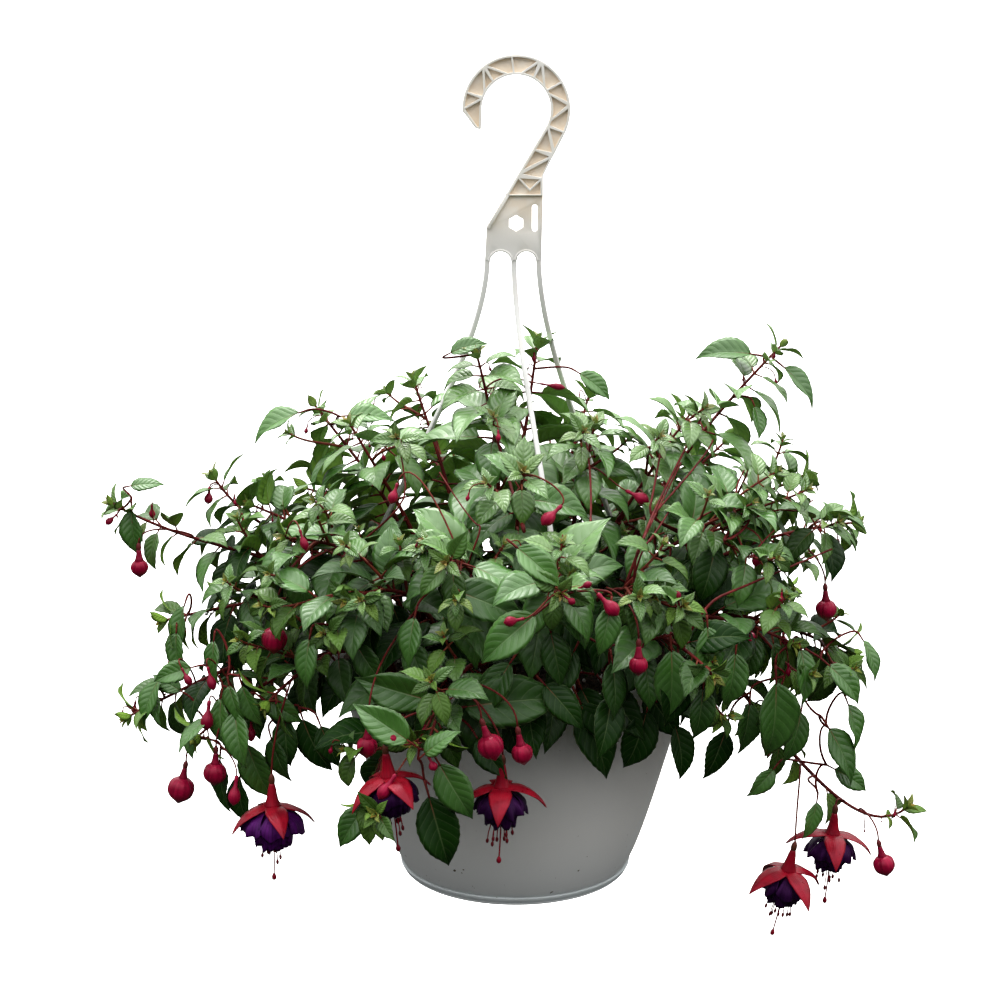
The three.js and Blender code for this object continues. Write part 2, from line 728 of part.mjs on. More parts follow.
// The thread-like stalk from a shoot down to a flower or a bud. Where they are nearly level, it arches up.
const NEARLY_LEVEL = 45;
function stalk(shoot, back, place) {
  const node = backFromTip(shoot.points, back);
  const rise = node.at.z - place.z < NEARLY_LEVEL ? 0.6 : -0.35;
  const wish = place.clone().sub(node.at).setZ(0).normalize().add(vec(0, 0, rise));
  const leaving = wish.addScaledVector(node.tangent, -wish.dot(node.tangent)).normalize();
  const start = node.at.clone().addScaledVector(leaving, stemRadius(node.share) + 2 * GAP);
  const reach = Math.max(8, 0.45 * start.distanceTo(place));
  const points = bezier(
    start,
    start.clone().addScaledVector(leaving, 0.35 * reach),
    place.clone().addScaledVector(UP, reach),
    place,
    5,
  );
  return { points, solid: rod(points, points.map(() => 0.9), 4, shoot.sideways) };
}

// Turns a solid made hanging straight down from the origin, and puts it in its place.
function hang(solid, place, [leanX, leanY]) {
  return solid.rotate([leanY, leanX, 0]).translate([place.x, place.y, place.z]);
}

// A solid of rings round the vertical, each with its radius and height, that may end in a point.
function drop(sides, ...stops) {
  const at = (z) => vec(0, 0, z);
  return loft(stops.map(([r, z]) => (r ? ring(at(z), vec(1, 0, 0), vec(0, -1, 0), r, sides) : [at(z)])));
}

const SEPAL_Z = -22; // where the sepals leave the flower's tube
const SEPAL_RISE = rad(12);
const SEPAL_LENGTH = 33;
const SEPAL_WIDTH = 15;

// A sepal: out from the flower's tube, over and down to a point.
function sepalSolid(turn) {
  const blade = {
    at: vec(2, 0, SEPAL_Z + 1),
    axis: vec(Math.cos(SEPAL_RISE), 0, Math.sin(SEPAL_RISE)),
    normal: vec(-Math.sin(SEPAL_RISE), 0, Math.cos(SEPAL_RISE)),
    across: vec(0, -1, 0),
    length: SEPAL_LENGTH,
    width: SEPAL_WIDTH,
    bend: 1.25,
  };
  const section = (along, half) => [
    leafPoint(blade, along, 0, -0.9),
    leafPoint(blade, along, -half, -1),
    leafPoint(blade, along, 0, 0.9),
    leafPoint(blade, along, half, -1),
  ];
  return loft([section(0, 4), section(0.42, 7), [leafPoint(blade, 1, 0, 0)]]).rotate([0, 0, turn]);
}

function flowerSolid(turn) {
  const core = drop(6, [0.9, 0.6], [2.2, -2], [2.2, -8], [4.2, -18], [5, SEPAL_Z], [3, SEPAL_Z - 4]);
  const corolla = drop(8, [2.5, SEPAL_Z], [13, SEPAL_Z - 4], [16.5, SEPAL_Z - 12], [9, SEPAL_Z - 24]);
  const pistil = drop(4, [0.8, SEPAL_Z - 20], [0.7, -66], [1.7, -69], [0.8, -71.5]);
  const stamens = [20, 110, 200, 290].map((side, i) => {
    const foot = vec(5, 0, SEPAL_Z - 18);
    const end = vec(8.5, 0, -52 - 2.4 * (i % 3));
    return rod([foot, end], [0.7, 0.9], 3, vec(0, 1, 0)).rotate([0, 0, side]);
  });
  const sepals = [0, 90, 180, 270].map((side) => sepalSolid(side + turn));
  return [corolla, pistil, ...stamens, ...sepals].reduce((made, piece) => made.add(piece), core);
}

// The ovary and the tube of a bud, over its ball.
const BUD_TUBE = 11.5;

function budSolid(diameter) {
  const r = diameter / 2;
  return drop(
    6,
    [0.9, 0.6],
    [1.8, -2],
    [2, 3 - BUD_TUBE],
    [2.9, -BUD_TUBE],
    [r, -BUD_TUBE - 0.8 * r],
    [r * 0.7, -BUD_TUBE - 1.7 * r],
    [0, -BUD_TUBE - 2.4 * r],
  );
}

// ---- the whole ------------------------------------------------------------------------------------------

const WHITE_PLASTIC = { color: 0xdedcd4, roughness: 0.5, metalness: 0 };
const SOIL = { color: 0x2c1f17, roughness: 1, metalness: 0 };
const LEAF = { color: 0x3f6b3c, roughness: 0.6, metalness: 0 };
const PETAL = { color: 0xb3122f, roughness: 0.55, metalness: 0 };

const group = new THREE.Group();
function put(name, solid, look) {
  const mesh = new THREE.Mesh(geometryOf(solid), new THREE.MeshStandardMaterial(look));
  mesh.name = name;
  group.add(mesh);
}

put("hanger", hanger(), WHITE_PLASTIC);
put("pot", pot(), WHITE_PLASTIC);
put("drip_tray", dripTray(), WHITE_PLASTIC);
put("potting_soil", soil(), SOIL);

const shootName = (i) => `shoot_${String(i + 1).padStart(2, "0")}`;
const room = new Room();
// Marks the space along a line.
function reserveLine(line, name) {
  line.slice(1).forEach((p, i) => {
    const count = Math.ceil(p.distanceTo(line[i]) / 4);
    for (let k = 0; k < count; k++) room.add(line[i].clone().lerp(p, k / count), name);
  });
}
for (const line of legLines) reserveLine(line, "hanger");
const randoms = SHOOTS.map((_, i) => randomStream(i + 1));
const shoots = SHOOTS.map((row, i) => shootLine(row, randoms[i]));
shoots.forEach((shoot, i) => reserveLine(shoot.points, shootName(i)));

// Marks the space that a hanging flower or bud takes up, so that leaves keep off it.
function reserve(name, points, place, depth, spread) {
  reserveLine(points, name);
  for (let z = -4; z > -depth; z -= 6) room.add(place.clone().add(vec(0, 0, z)), name);
  for (let turn = 0; turn < 360; turn += 30)
    for (let r = 12; r < spread; r += 10) {
      const low = vec(r * Math.cos(rad(turn)), r * Math.sin(rad(turn)), SEPAL_Z - 0.3 * r);
      room.add(place.clone().add(low), name);
    }
}

// Hangs a flower or a bud from its shoot, and marks the space that it takes up.
function hung(name, shoot, back, at, lean, made, depth, spread) {
  const place = vec(...at);
  const held = stalk(shoots[shoot - 1], back, place);
  reserve(name, held.points, place, depth, spread);
  return { name, solid: held.solid.add(hang(made, place, lean)) };
}

const hanging = [
  ...FLOWERS.map(([name, shoot, back, at, turn, lean]) =>
    hung(name, shoot, back, at, lean, flowerSolid(turn), 60, SEPAL_LENGTH),
  ),
  ...BUDS.map(([name, shoot, back, at, size, lean]) =>
    hung(name, shoot, back, at, lean, budSolid(size), 34, 0),
  ),
];

shoots.forEach((shoot, i) => {
  const leaves = leavesOf(shoot, shootName(i), randoms[i], room);
  const solid = leaves.reduce((made, leaf) => made.add(leafSolid(leaf)), stemSolid(shoot));
  put(shootName(i), solid, LEAF);
});
for (const item of hanging) put(item.name, item.solid, PETAL);

export default group;
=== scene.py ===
"""The looks of a fuchsia in a white plastic hanging pot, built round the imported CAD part.

The hanger, the pot, its drip tray and the soil are rebuilt with fine surfaces at the CAD sizes. The plant is
grown again from the CAD part's rows: each shoot keeps its line and its large leaves, and gains side shoots,
sprays, single leaves, leaf stalks and small buds. Sizes are in millimetres until a piece is made, with +Z up
and +Y to the back. Colours are linear red, green and blue.
"""
import math
from collections import namedtuple
from functools import lru_cache
from itertools import product

import bmesh
import bpy
import numpy as np
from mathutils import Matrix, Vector, noise


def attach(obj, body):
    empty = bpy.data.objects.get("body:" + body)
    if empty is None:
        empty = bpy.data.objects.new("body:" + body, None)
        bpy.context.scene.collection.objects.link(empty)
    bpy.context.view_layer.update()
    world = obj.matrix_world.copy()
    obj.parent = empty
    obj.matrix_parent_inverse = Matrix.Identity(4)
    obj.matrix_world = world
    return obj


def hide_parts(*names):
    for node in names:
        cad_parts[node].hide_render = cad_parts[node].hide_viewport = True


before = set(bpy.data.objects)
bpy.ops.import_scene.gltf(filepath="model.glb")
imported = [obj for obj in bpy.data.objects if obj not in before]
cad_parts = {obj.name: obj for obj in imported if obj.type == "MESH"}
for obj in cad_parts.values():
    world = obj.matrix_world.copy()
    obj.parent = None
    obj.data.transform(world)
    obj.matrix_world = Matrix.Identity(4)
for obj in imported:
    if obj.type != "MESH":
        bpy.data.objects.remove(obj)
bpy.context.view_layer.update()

MM = 0.001

# ---- driving dimensions, as in the CAD part ----------------------------------------------------------------

HOOK_INNER_R = 22.7
HOOK_OUTER_R = 35.5
BEAM_DEPTH = 8
PLATE_DEPTH = 3.2
FLANGE = 1.9
RIB = 1.3
WEB = 1.8
RIM_Z = -387
BASE_Z = -550
RIM_OUTER_R = 134
WALL_TOP_R = 128
WALL = 1.8
WALL_TAPER = 0.282
BASE_TUCK = 6
TUCK_HEIGHT = 18
TRAY_R = 81
TRAY_HEIGHT = 6.5
RIM_FLANGE = 2.4
RIM_SKIRT = 8
SOIL_Z = -401
GAP = 0.3
LEG_AZIMUTHS = (166, -74, 46)
LEG_TOP_X = (-19.1, -1.4, 15.1)
LEG_TOP_Z = -122
LEG_RIM_R = 129.9
LEG_WIDTH = 3.4
LEG_DEPTH = 2.8


def vec(x, y, z):
    return np.array((x, y, z), float)


UP = vec(0, 0, 1)


def unit(v):
    return v / np.linalg.norm(v)


def heading(azimuth, elevation=0.0):
    """The direction at an angle round from +X and an angle up, in degrees."""
    turn, rise = math.radians(azimuth), math.radians(elevation)
    return vec(math.cos(turn) * math.cos(rise), math.sin(turn) * math.cos(rise), math.sin(rise))


def turned_about(v, axis, angle):
    """A vector turned about an axis, by an angle in radians."""
    c, s = math.cos(angle), math.sin(angle)
    return v * c + np.cross(axis, v) * s + axis * (axis @ v) * (1 - c)


def aimed(a, b, angle):
    """The direction an angle in radians from one direction towards another that is square to it."""
    return a * math.cos(angle) + b * math.sin(angle)


def square_to(axis, v):
    """The direction square to an axis that is nearest to a vector."""
    return unit(v - axis * (v @ axis))


def framed(tangent, sideways):
    """Two directions square to a line, the first near the sideways direction."""
    across = square_to(tangent, sideways)
    return across, np.cross(tangent, across)


def clipped(value):
    """A number held between 0 and 1."""
    return min(1, max(0, value))


def round_turn(sides):
    """Angles all the way round, in radians."""
    return 2 * math.pi * np.arange(sides) / sides


def in_scene(name, data):
    """A new object in the scene."""
    made = bpy.data.objects.new(name, data)
    bpy.context.scene.collection.objects.link(made)
    return made


# ---- meshes ------------------------------------------------------------------------------------------------


class Shape:
    """A piece in the making: points, faces, a flat map of each face's surface, and a look at each point."""

    def __init__(self):
        self.points = []
        self.faces = []
        self.maps = []
        self.looks = []
        self.count = 0

    def add(self, points, faces, flat=None, look=(0, 0, 0)):
        points = np.asarray(points, float).reshape(-1, 3)
        looks = np.broadcast_to(np.asarray(look, float), (len(points), 3))
        self.points.append(points)
        self.faces.extend([i + self.count for i in face] for face in faces)
        self.maps.append(np.zeros((len(points), 2)) if flat is None else np.asarray(flat, float))
        self.looks.append(looks)
        self.count += len(points)
        return self

    def add_mesh(self, mesh):
        return self.add([v.co for v in mesh.vertices], [list(p.vertices) for p in mesh.polygons])


def make_piece(name, shape, material, node, sharp=None):
    """The finished mesh of a piece, which rides with the part and stands for a CAD node."""
    mesh = bpy.data.meshes.new(name)
    mesh.from_pydata(np.concatenate(shape.points) * MM, [], shape.faces)
    mesh.validate()
    corners = np.empty(len(mesh.loops), int)
    mesh.loops.foreach_get("vertex_index", corners)
    flat = mesh.uv_layers.new(name="blade")
    flat.data.foreach_set("uv", np.concatenate(shape.maps)[corners].ravel())
    looks = np.concatenate(shape.looks)
    look = mesh.attributes.new("look", "FLOAT_COLOR", "POINT")
    look.data.foreach_set("color", np.column_stack([looks, np.ones(len(looks))]).ravel())
    mesh.shade_smooth()
    if sharp is not None:
        mesh.set_sharp_from_angle(angle=math.radians(sharp))
    mesh.materials.append(material)
    made = in_scene(name, mesh)
    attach(made, "root")
    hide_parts(node)


@lru_cache(maxsize=None)
def shell_layout(rows, columns):
    """Faces of a thin closed sheet of rows by columns, whose two sides share their border."""
    top = np.arange(rows * columns).reshape(rows, columns)
    low = top.copy()
    inner = (rows - 2) * (columns - 2)
    low[1:-1, 1:-1] = rows * columns + np.arange(inner).reshape(rows - 2, columns - 2)
    faces = []
    for i in range(rows - 1):
        for j in range(columns - 1):
            faces.append([top[i, j], top[i, j + 1], top[i + 1, j + 1], top[i + 1, j]])
            faces.append([low[i, j], low[i + 1, j], low[i + 1, j + 1], low[i, j + 1]])
    return [[int(k) for k in face] for face in faces]


def flat_grid(across, rows):
    """The flat map of a grid: a share across it and a share along it at each point."""
    return np.stack(np.meshgrid(across, np.linspace(0, 1, rows)), axis=2)


def add_sheet(shape, grid, thickness, look=(0, 0, 0)):
    """Adds a thin closed sheet through a grid of points. The look's third number is 1 on its lower side."""
    rows, columns = grid.shape[:2]
    normal = np.cross(np.gradient(grid, axis=1), np.gradient(grid, axis=0))
    normal /= np.linalg.norm(normal, axis=2, keepdims=True) + 1e-9
    low = (grid - normal * thickness)[1:-1, 1:-1].reshape(-1, 3)
    flat = flat_grid(np.linspace(0, 1, columns), rows)
    maps = np.concatenate([flat.reshape(-1, 2), flat[1:-1, 1:-1].reshape(-1, 2)])
    looks = np.tile(np.asarray(look, float), (rows * columns + len(low), 1))
    looks[rows * columns:, 2] = 1
    shape.add(np.concatenate([grid.reshape(-1, 3), low]), shell_layout(rows, columns), maps, looks)


def frames_along(points, sideways):
    """Two directions square to a line at each of its points, carried along it without twist."""
    tangents = np.gradient(points, axis=0)
    tangents /= np.linalg.norm(tangents, axis=1, keepdims=True) + 1e-12
    across = []
    last = np.asarray(sideways, float)
    for tangent in tangents:
        last = last - tangent * (last @ tangent)
        if np.linalg.norm(last) < 1e-6:
            last = np.cross(tangent, (0.3, 0.8, 0.5))
        last = unit(last)
        across.append(last)
    across = np.array(across)
    return across, np.cross(tangents, across)


def band_faces(rings, sides):
    """Faces between neighbouring rings of points."""
    faces = []
    for i in range(rings - 1):
        for j in range(sides):
            k = (j + 1) % sides
            faces.append([i * sides + j, i * sides + k, (i + 1) * sides + k, (i + 1) * sides + j])
    return faces


def add_rings(shape, rings, look=(0, 0, 0)):
    """Adds a closed surface through rings of points, each with as many points, capped at both ends."""
    rings = np.asarray(rings, float)
    steps, sides = rings.shape[:2]
    faces = band_faces(steps, sides)
    faces.append(list(range(sides))[::-1])
    faces.append([(steps - 1) * sides + j for j in range(sides)])
    flat = flat_grid(np.arange(sides) / sides, steps)
    shape.add(rings.reshape(-1, 3), faces, flat.reshape(-1, 2), look)


def level_ring(radii, sides, z):
    """A level ring of points round the z axis."""
    turns = round_turn(sides)
    return np.column_stack([radii * np.cos(turns), -radii * np.sin(turns), np.full(sides, z)])


def add_rod(shape, points, radii, sides=8, sideways=(1, 0, 0.1), look=(0, 0, 0)):
    """Adds a round rod along points, with a radius at each."""
    points = np.asarray(points, float)
    radii = np.broadcast_to(np.asarray(radii, float), (len(points),))
    across, upward = frames_along(points, sideways)
    turns = round_turn(sides)
    rings = points[:, None] + radii[:, None, None] * (
        across[:, None] * np.cos(turns)[None, :, None] + upward[:, None] * np.sin(turns)[None, :, None]
    )
    add_rings(shape, rings, look)


def add_turned(shape, profile, sides, look=(0, 0, 0)):
    """Adds a closed turned body. Its profile goes down from the top to the foot, as radius and z."""
    add_rings(shape, [level_ring(r, sides, z) for r, z in profile], look)


def add_lathe(shape, profile, sides):
    """Adds a body turned from an outline that starts and ends on the axis."""
    body = profile[1:-1]
    turns = round_turn(sides)
    points = [(r * math.cos(t), r * math.sin(t), z) for r, z in body for t in turns]
    faces = band_faces(len(body), sides)
    first, last = len(points), len(points) + 1
    points += [(0, 0, profile[0][1]), (0, 0, profile[-1][1])]
    faces += [[first, (j + 1) % sides, j] for j in range(sides)]
    base = (len(body) - 1) * sides
    faces += [[last, base + j, base + (j + 1) % sides] for j in range(sides)]
    shape.add(points, faces)


def bezier(a, b, c, d, steps):
    """Points along a curve that leaves a towards b and reaches d from c."""
    t = np.linspace(0, 1, steps + 1)[:, None]
    u = 1 - t
    return u**3 * a + 3 * u * u * t * b + 3 * u * t * t * c + t**3 * d


def arc(cx, cz, r, start, end, steps):
    """Points along a circle's arc in x and z, from an angle to an angle in degrees."""
    turns = np.radians(np.linspace(start, end, steps + 1))
    return [(cx + r * math.cos(t), cz + r * math.sin(t)) for t in turns]


def cut_away(shape, cutters):
    """The shape with other closed shapes cut out of it."""
    objects = []
    for name, source in (("body", shape), ("cutters", cutters)):
        mesh = bpy.data.meshes.new(name)
        mesh.from_pydata(np.concatenate(source.points), [], source.faces)
        objects.append(in_scene(name, mesh))
    body, tools = objects
    cut = body.modifiers.new("cut", "BOOLEAN")
    cut.object = tools
    cut.operation = "DIFFERENCE"
    cut.solver = "EXACT"
    result = body.evaluated_get(bpy.context.evaluated_depsgraph_get()).to_mesh()
    made = Shape().add_mesh(result)
    for item in objects:
        bpy.data.objects.remove(item)
    return made


def box_points(width, depth, height, place, azimuth):
    """A box's corners and faces, turned round the vertical about the origin."""
    x, y, z = place
    corners = [
        (x + a * width / 2, y + b * depth / 2, z + c * height / 2)
        for c in (-1, 1)
        for b in (-1, 1)
        for a in (-1, 1)
    ]
    faces = [[0, 2, 3, 1], [4, 5, 7, 6], [0, 1, 5, 4], [2, 6, 7, 3], [0, 4, 6, 2], [1, 3, 7, 5]]
    turn = math.radians(azimuth)
    c, s = math.cos(turn), math.sin(turn)
    return [(c * px - s * py, s * px + c * py, pz) for px, py, pz in corners], faces


# ---- materials ---------------------------------------------------------------------------------------------


class Nodes:
    """A node tree, with short calls for the nodes used here."""

    def __init__(self, tree):
        self.tree = tree

    def node(self, kind, **settings):
        made = self.tree.nodes.new(kind)
        for key, value in settings.items():
            setattr(made, key, value)
        return made

    def feed(self, socket, value):
        """Links a socket to another, or sets its own value."""
        if isinstance(value, bpy.types.NodeSocket):
            self.tree.links.new(value, socket)
        else:
            socket.default_value = value

    def fed(self, made, values):
        """The first output of a node whose inputs take these values in turn."""
        for socket, value in zip(made.inputs, values):
            self.feed(socket, value)
        return made.outputs[0]

    def parts(self, kind, source):
        """The three numbers of a vector or a colour."""
        made = self.node(kind)
        self.feed(made.inputs[0], source)
        return made.outputs[:3]

    def calc(self, operation, *values):
        """The result of a math node's operation."""
        return self.fed(self.node("ShaderNodeMath", operation=operation), values)

    def times(self, a, b):
        return self.calc("MULTIPLY", a, b)

    def lines(self, value, count, low, high, strength):
        """Fine lines, a count of them to each unit of the value, which fade out between low and high."""
        return self.step(self.calc("PINGPONG", self.times(value, count), 0.5), low, high, strength, 0)

    def mix(self, share, a, b):
        """The colour a, turned by a share to the colour b."""
        made = self.node("ShaderNodeMix", data_type="RGBA")
        self.feed(made.inputs["Factor"], share)
        for socket, value in ((made.inputs[6], a), (made.inputs[7], b)):
            self.feed(socket, value if isinstance(value, bpy.types.NodeSocket) else (*value, 1))
        return made.outputs[2]

    def step(self, value, low, high, bottom=0.0, top=1.0):
        """A smooth change from bottom to top while the value goes from low to high."""
        made = self.node("ShaderNodeMapRange", interpolation_type="SMOOTHSTEP")
        return self.fed(made, (value, low, high, bottom, top))


class Look(Nodes):
    """A material, with short calls for what its shader is fed."""

    def __init__(self, name):
        self.material = bpy.data.materials.new(name)
        self.material.use_nodes = True
        super().__init__(self.material.node_tree)
        self.shader = self.tree.nodes["Principled BSDF"]

    def noise(self, scale, detail=3.0, stretch=(1, 1, 1), rough=0.5):
        place = self.node("ShaderNodeTexCoord")
        sized = self.node("ShaderNodeMapping")
        sized.inputs["Scale"].default_value = stretch
        self.feed(sized.inputs["Vector"], place.outputs["Object"])
        made = self.node("ShaderNodeTexNoise")
        self.feed(made.inputs["Vector"], sized.outputs[0])
        made.inputs["Scale"].default_value = scale
        made.inputs["Detail"].default_value = detail
        made.inputs["Roughness"].default_value = rough
        return made.outputs[0]

    def place(self):
        """The object's own x, y and z."""
        return self.parts("ShaderNodeSeparateXYZ", self.node("ShaderNodeTexCoord").outputs["Object"])

    def blade(self):
        """The flat map's two coordinates."""
        flat = self.node("ShaderNodeUVMap", uv_map="blade")
        return self.parts("ShaderNodeSeparateXYZ", flat.outputs[0])[:2]

    def look(self):
        """The three numbers that the mesh carries at each point."""
        carried = self.node("ShaderNodeAttribute", attribute_name="look")
        return self.parts("ShaderNodeSeparateColor", carried.outputs["Color"])

    def bump(self, height, distance, strength=1.0, below=None):
        """A relief as deep as a distance in millimetres, over another one if there is one below."""
        made = self.node("ShaderNodeBump")
        made.inputs["Distance"].default_value = distance * MM
        made.inputs["Strength"].default_value = strength
        self.feed(made.inputs["Height"], height)
        if below is not None:
            self.feed(made.inputs["Normal"], below)
        return made.outputs[0]

    def finish(self, colour, roughness, normal=None, **plain):
        """The finished material. A name in plain is a socket's, with _ for each space."""
        self.feed(self.shader.inputs["Base Color"], colour)
        self.feed(self.shader.inputs["Roughness"], roughness)
        if normal is not None:
            self.feed(self.shader.inputs["Normal"], normal)
        for key, value in plain.items():
            self.feed(self.shader.inputs[key.replace("_", " ")], value)
        return self.material


HOOK_FADES = (-0.108, -0.084)  # heights in metres between which the hook's tint turns to the plate's
PLATE_FADES = (-0.135, -0.100)  # and the legs' tint to the plate's
FOOT_SHADE_RISE = 60  # how far up the painted shade at the pot's foot goes


def hanger_plastic():
    """White moulded plastic, with painted shade in a mottled pale tan on the recessed web between the ribs.
    """
    n = Look("hanger_plastic")
    _, y, z = n.place()
    # Painted shade: on the hook's recessed web, between the flanges and the ribs, the white turns a mottled
    # pale tan.
    recess = n.step(n.calc("ABSOLUTE", y), 0.0012, 0.0032, 1, 0)
    high = n.step(z, *HOOK_FADES)
    web_shade_mask = n.times(recess, high)
    soil = n.step(n.noise(90, 4), 0.42, 0.66)
    web_shade_cream = n.mix(soil, (0.92, 0.80, 0.65), (0.95, 0.87, 0.76))
    white = n.mix(n.step(n.noise(45, 3), 0.35, 0.7), (0.90, 0.87, 0.80), (0.95, 0.94, 0.91))
    plate = n.mix(n.step(z, *PLATE_FADES), (0.80, 0.80, 0.79), (0.78, 0.755, 0.71))
    plate = n.mix(n.step(n.noise(60, 3), 0.45, 0.7, 0, 0.35), plate, (0.80, 0.76, 0.70))
    base = n.mix(high, plate, white)
    colour = n.mix(web_shade_mask, base, web_shade_cream)
    grain = n.bump(n.noise(900, 2), 0.02, 0.35)
    rough = n.step(n.noise(70, 3), 0.3, 0.7, 0.42, 0.55)
    return n.finish(colour, rough, grain, Specular_IOR_Level=0.45)


def pot_plastic(name, light, shade):
    """Matt off-white plastic with faint flow marks, specks of dirt, splashes of dried water, and painted
    shade that greys it towards the foot.
    """
    n = Look(name)
    z = n.place()[2]
    flow = n.step(n.noise(7, 4, (1, 1, 0.35)), 0.3, 0.75)
    colour = n.mix(flow, light, shade)
    # Painted shade: the plastic greys towards the pot's foot, and over the tray below it as well.
    low = n.step(z, BASE_Z * MM, (BASE_Z + FOOT_SHADE_RISE) * MM, 0.5, 0)
    colour = n.mix(low, colour, (0.50, 0.54, 0.56))
    speck = n.step(n.noise(330, 1), 0.735, 0.77)
    patch = n.step(n.noise(16, 2), 0.52, 0.62)
    colour = n.mix(n.times(speck, patch), colour, (0.10, 0.085, 0.06))
    smear = n.step(n.noise(28, 5, (1, 1, 0.5), 0.65), 0.58, 0.78, 0, 0.22)
    colour = n.mix(smear, colour, (0.42, 0.41, 0.37))
    rough = n.step(n.noise(35, 4), 0.3, 0.7, 0.48, 0.62)
    grain = n.bump(n.noise(700, 2), 0.02, 0.3)
    waves = n.bump(n.noise(12, 2), 0.35, 0.25, grain)
    return n.finish(colour, rough, waves, Specular_IOR_Level=0.4)


def soil_material():
    """Dark crumbly peat."""
    n = Look("soil")
    crumb = n.noise(420, 6, rough=0.7)
    colour = n.mix(n.step(crumb, 0.35, 0.7), (0.012, 0.008, 0.005), (0.075, 0.045, 0.028))
    fibre = n.step(n.noise(240, 3, (1, 3, 1)), 0.62, 0.7)
    colour = n.mix(fibre, colour, (0.13, 0.085, 0.05))
    return n.finish(colour, 0.95, n.bump(crumb, 1.2, 0.9), Specular_IOR_Level=0.2)


SIDE_VEINS = 7.5  # pairs of side veins in a blade


def leaf_material():
    """A fuchsia leaf: arched side veins, a paler lower side, and yellow-green where it is young. Its tone
    paints shade low on the plant and light high up, with a painted highlight along its edge.
    """
    n = Look("foliage")
    across, along = n.blade()
    tone, youth, under = n.look()
    side = n.calc("ABSOLUTE", n.calc("MULTIPLY_ADD", across, 2.0, -1.0))
    arched = n.times(n.calc("POWER", side, 1.25), 0.24)
    between_veins = n.calc("PINGPONG", n.times(n.calc("SUBTRACT", along, arched), SIDE_VEINS), 0.5)
    vein = n.step(between_veins, 0.0, 0.07, 1, 0)
    midrib = n.step(side, 0.01, 0.06, 1, 0)
    ribs = n.calc("MAXIMUM", n.times(vein, 0.55), midrib)

    blotch = n.step(n.noise(38, 4), 0.3, 0.72)
    deep = n.mix(blotch, (0.003, 0.019, 0.001), (0.006, 0.030, 0.0015))
    lit_green = n.mix(blotch, (0.050, 0.166, 0.016), (0.078, 0.220, 0.032))
    # The tone turns the dark green to the light one: painted shade low on the plant and painted light high
    # up, with a random share.
    green = n.mix(n.step(tone, 0, 0.92), deep, lit_green)
    # Painted light: the lightest leaves, high up, turn a paler yellow-green where the sky shines on them.
    green = n.mix(n.step(tone, 0.75, 1, 0, 0.35), green, (0.12, 0.25, 0.04))
    young = n.mix(n.step(youth, 0.6, 1.0), (0.12, 0.23, 0.035), (0.34, 0.25, 0.042))
    green = n.mix(n.step(youth, 0.05, 0.8), green, young)
    pale = n.mix(0.7, green, (0.24, 0.42, 0.05))
    green = n.mix(n.times(under, 0.85), green, pale)
    # The pale colour below is the veins' own; along the blade's edge it is a painted rim highlight.
    vein_pale_and_rim_light = n.mix(0.35, green, (0.24, 0.34, 0.14))
    green = n.mix(n.times(ribs, 0.5), green, vein_pale_and_rim_light)
    red_foot = n.times(midrib, n.step(along, 0.02, 0.35, 0.8, 0))
    green = n.mix(red_foot, green, (0.20, 0.035, 0.03))
    # Painted highlight: a pale rim along the blade's edge.
    green = n.mix(n.step(side, 0.93, 1.0, 0, 0.8), green, vein_pale_and_rim_light)

    quilt = n.times(n.calc("POWER", n.times(between_veins, 2.0), 0.6), n.step(side, 0.0, 0.2))
    height = n.calc("SUBTRACT", quilt, n.times(midrib, 0.7))
    flip = n.calc("MULTIPLY_ADD", under, -2.0, 1.0)
    grain = n.bump(n.noise(420, 3), 0.16, 0.5, n.bump(n.times(height, flip), 0.42, 0.75))
    rough = n.step(n.noise(60, 3), 0.3, 0.7, 0.36, 0.50)
    sheen = n.calc("MULTIPLY_ADD", n.calc("POWER", tone, 1.2), 0.97, 0.07)
    return n.finish(green, rough, grain, Specular_IOR_Level=sheen, IOR=1.6)


def stem_material():
    """Red-brown bark, crimson on young stems and leaf stalks. A brown woody bark waits on the look's first
    number, which every stem here leaves at 0.
    """
    n = Look("stems")
    wood, youth, _ = n.look()
    streak = n.step(n.noise(220, 3, (1, 1, 0.2)), 0.3, 0.7)
    ripe = n.mix(streak, (0.060, 0.006, 0.007), (0.125, 0.014, 0.012))
    bark = n.mix(streak, (0.10, 0.052, 0.026), (0.20, 0.115, 0.055))
    colour = n.mix(wood, ripe, bark)
    tender = n.mix(streak, (0.26, 0.045, 0.035), (0.30, 0.13, 0.05))
    colour = n.mix(n.step(youth, 0.1, 0.9), colour, tender)
    grain = n.bump(streak, 0.15, 0.5)
    return n.finish(colour, 0.5, grain, Specular_IOR_Level=0.18, Specular_Tint=(1, 0.5, 0.5, 1))


def sepal_material(name, light, dark, seam):
    """A waxy red skin with fine lengthwise veins.

    It turns to the seam colour with the first number of the look, and to brown with the second.
    """
    n = Look(name)
    across, _ = n.blade()
    first, second, _ = n.look()
    veins = n.lines(across, 11.0, 0.0, 0.3, 0.45)
    cloud = n.step(n.noise(120, 3), 0.3, 0.7)
    colour = n.mix(cloud, light, dark)
    colour = n.mix(veins, colour, dark)
    colour = n.mix(n.times(first, 0.85), colour, seam)
    colour = n.mix(n.times(second, 0.9), colour, (0.035, 0.030, 0.012))
    rough = n.step(n.noise(150, 3), 0.3, 0.7, 0.27, 0.40)
    relief = n.bump(n.calc("SUBTRACT", cloud, veins), 0.18, 0.6)
    return n.finish(colour, rough, relief, Specular_IOR_Level=0.45, Specular_Tint=(1, 0.3, 0.42, 1))


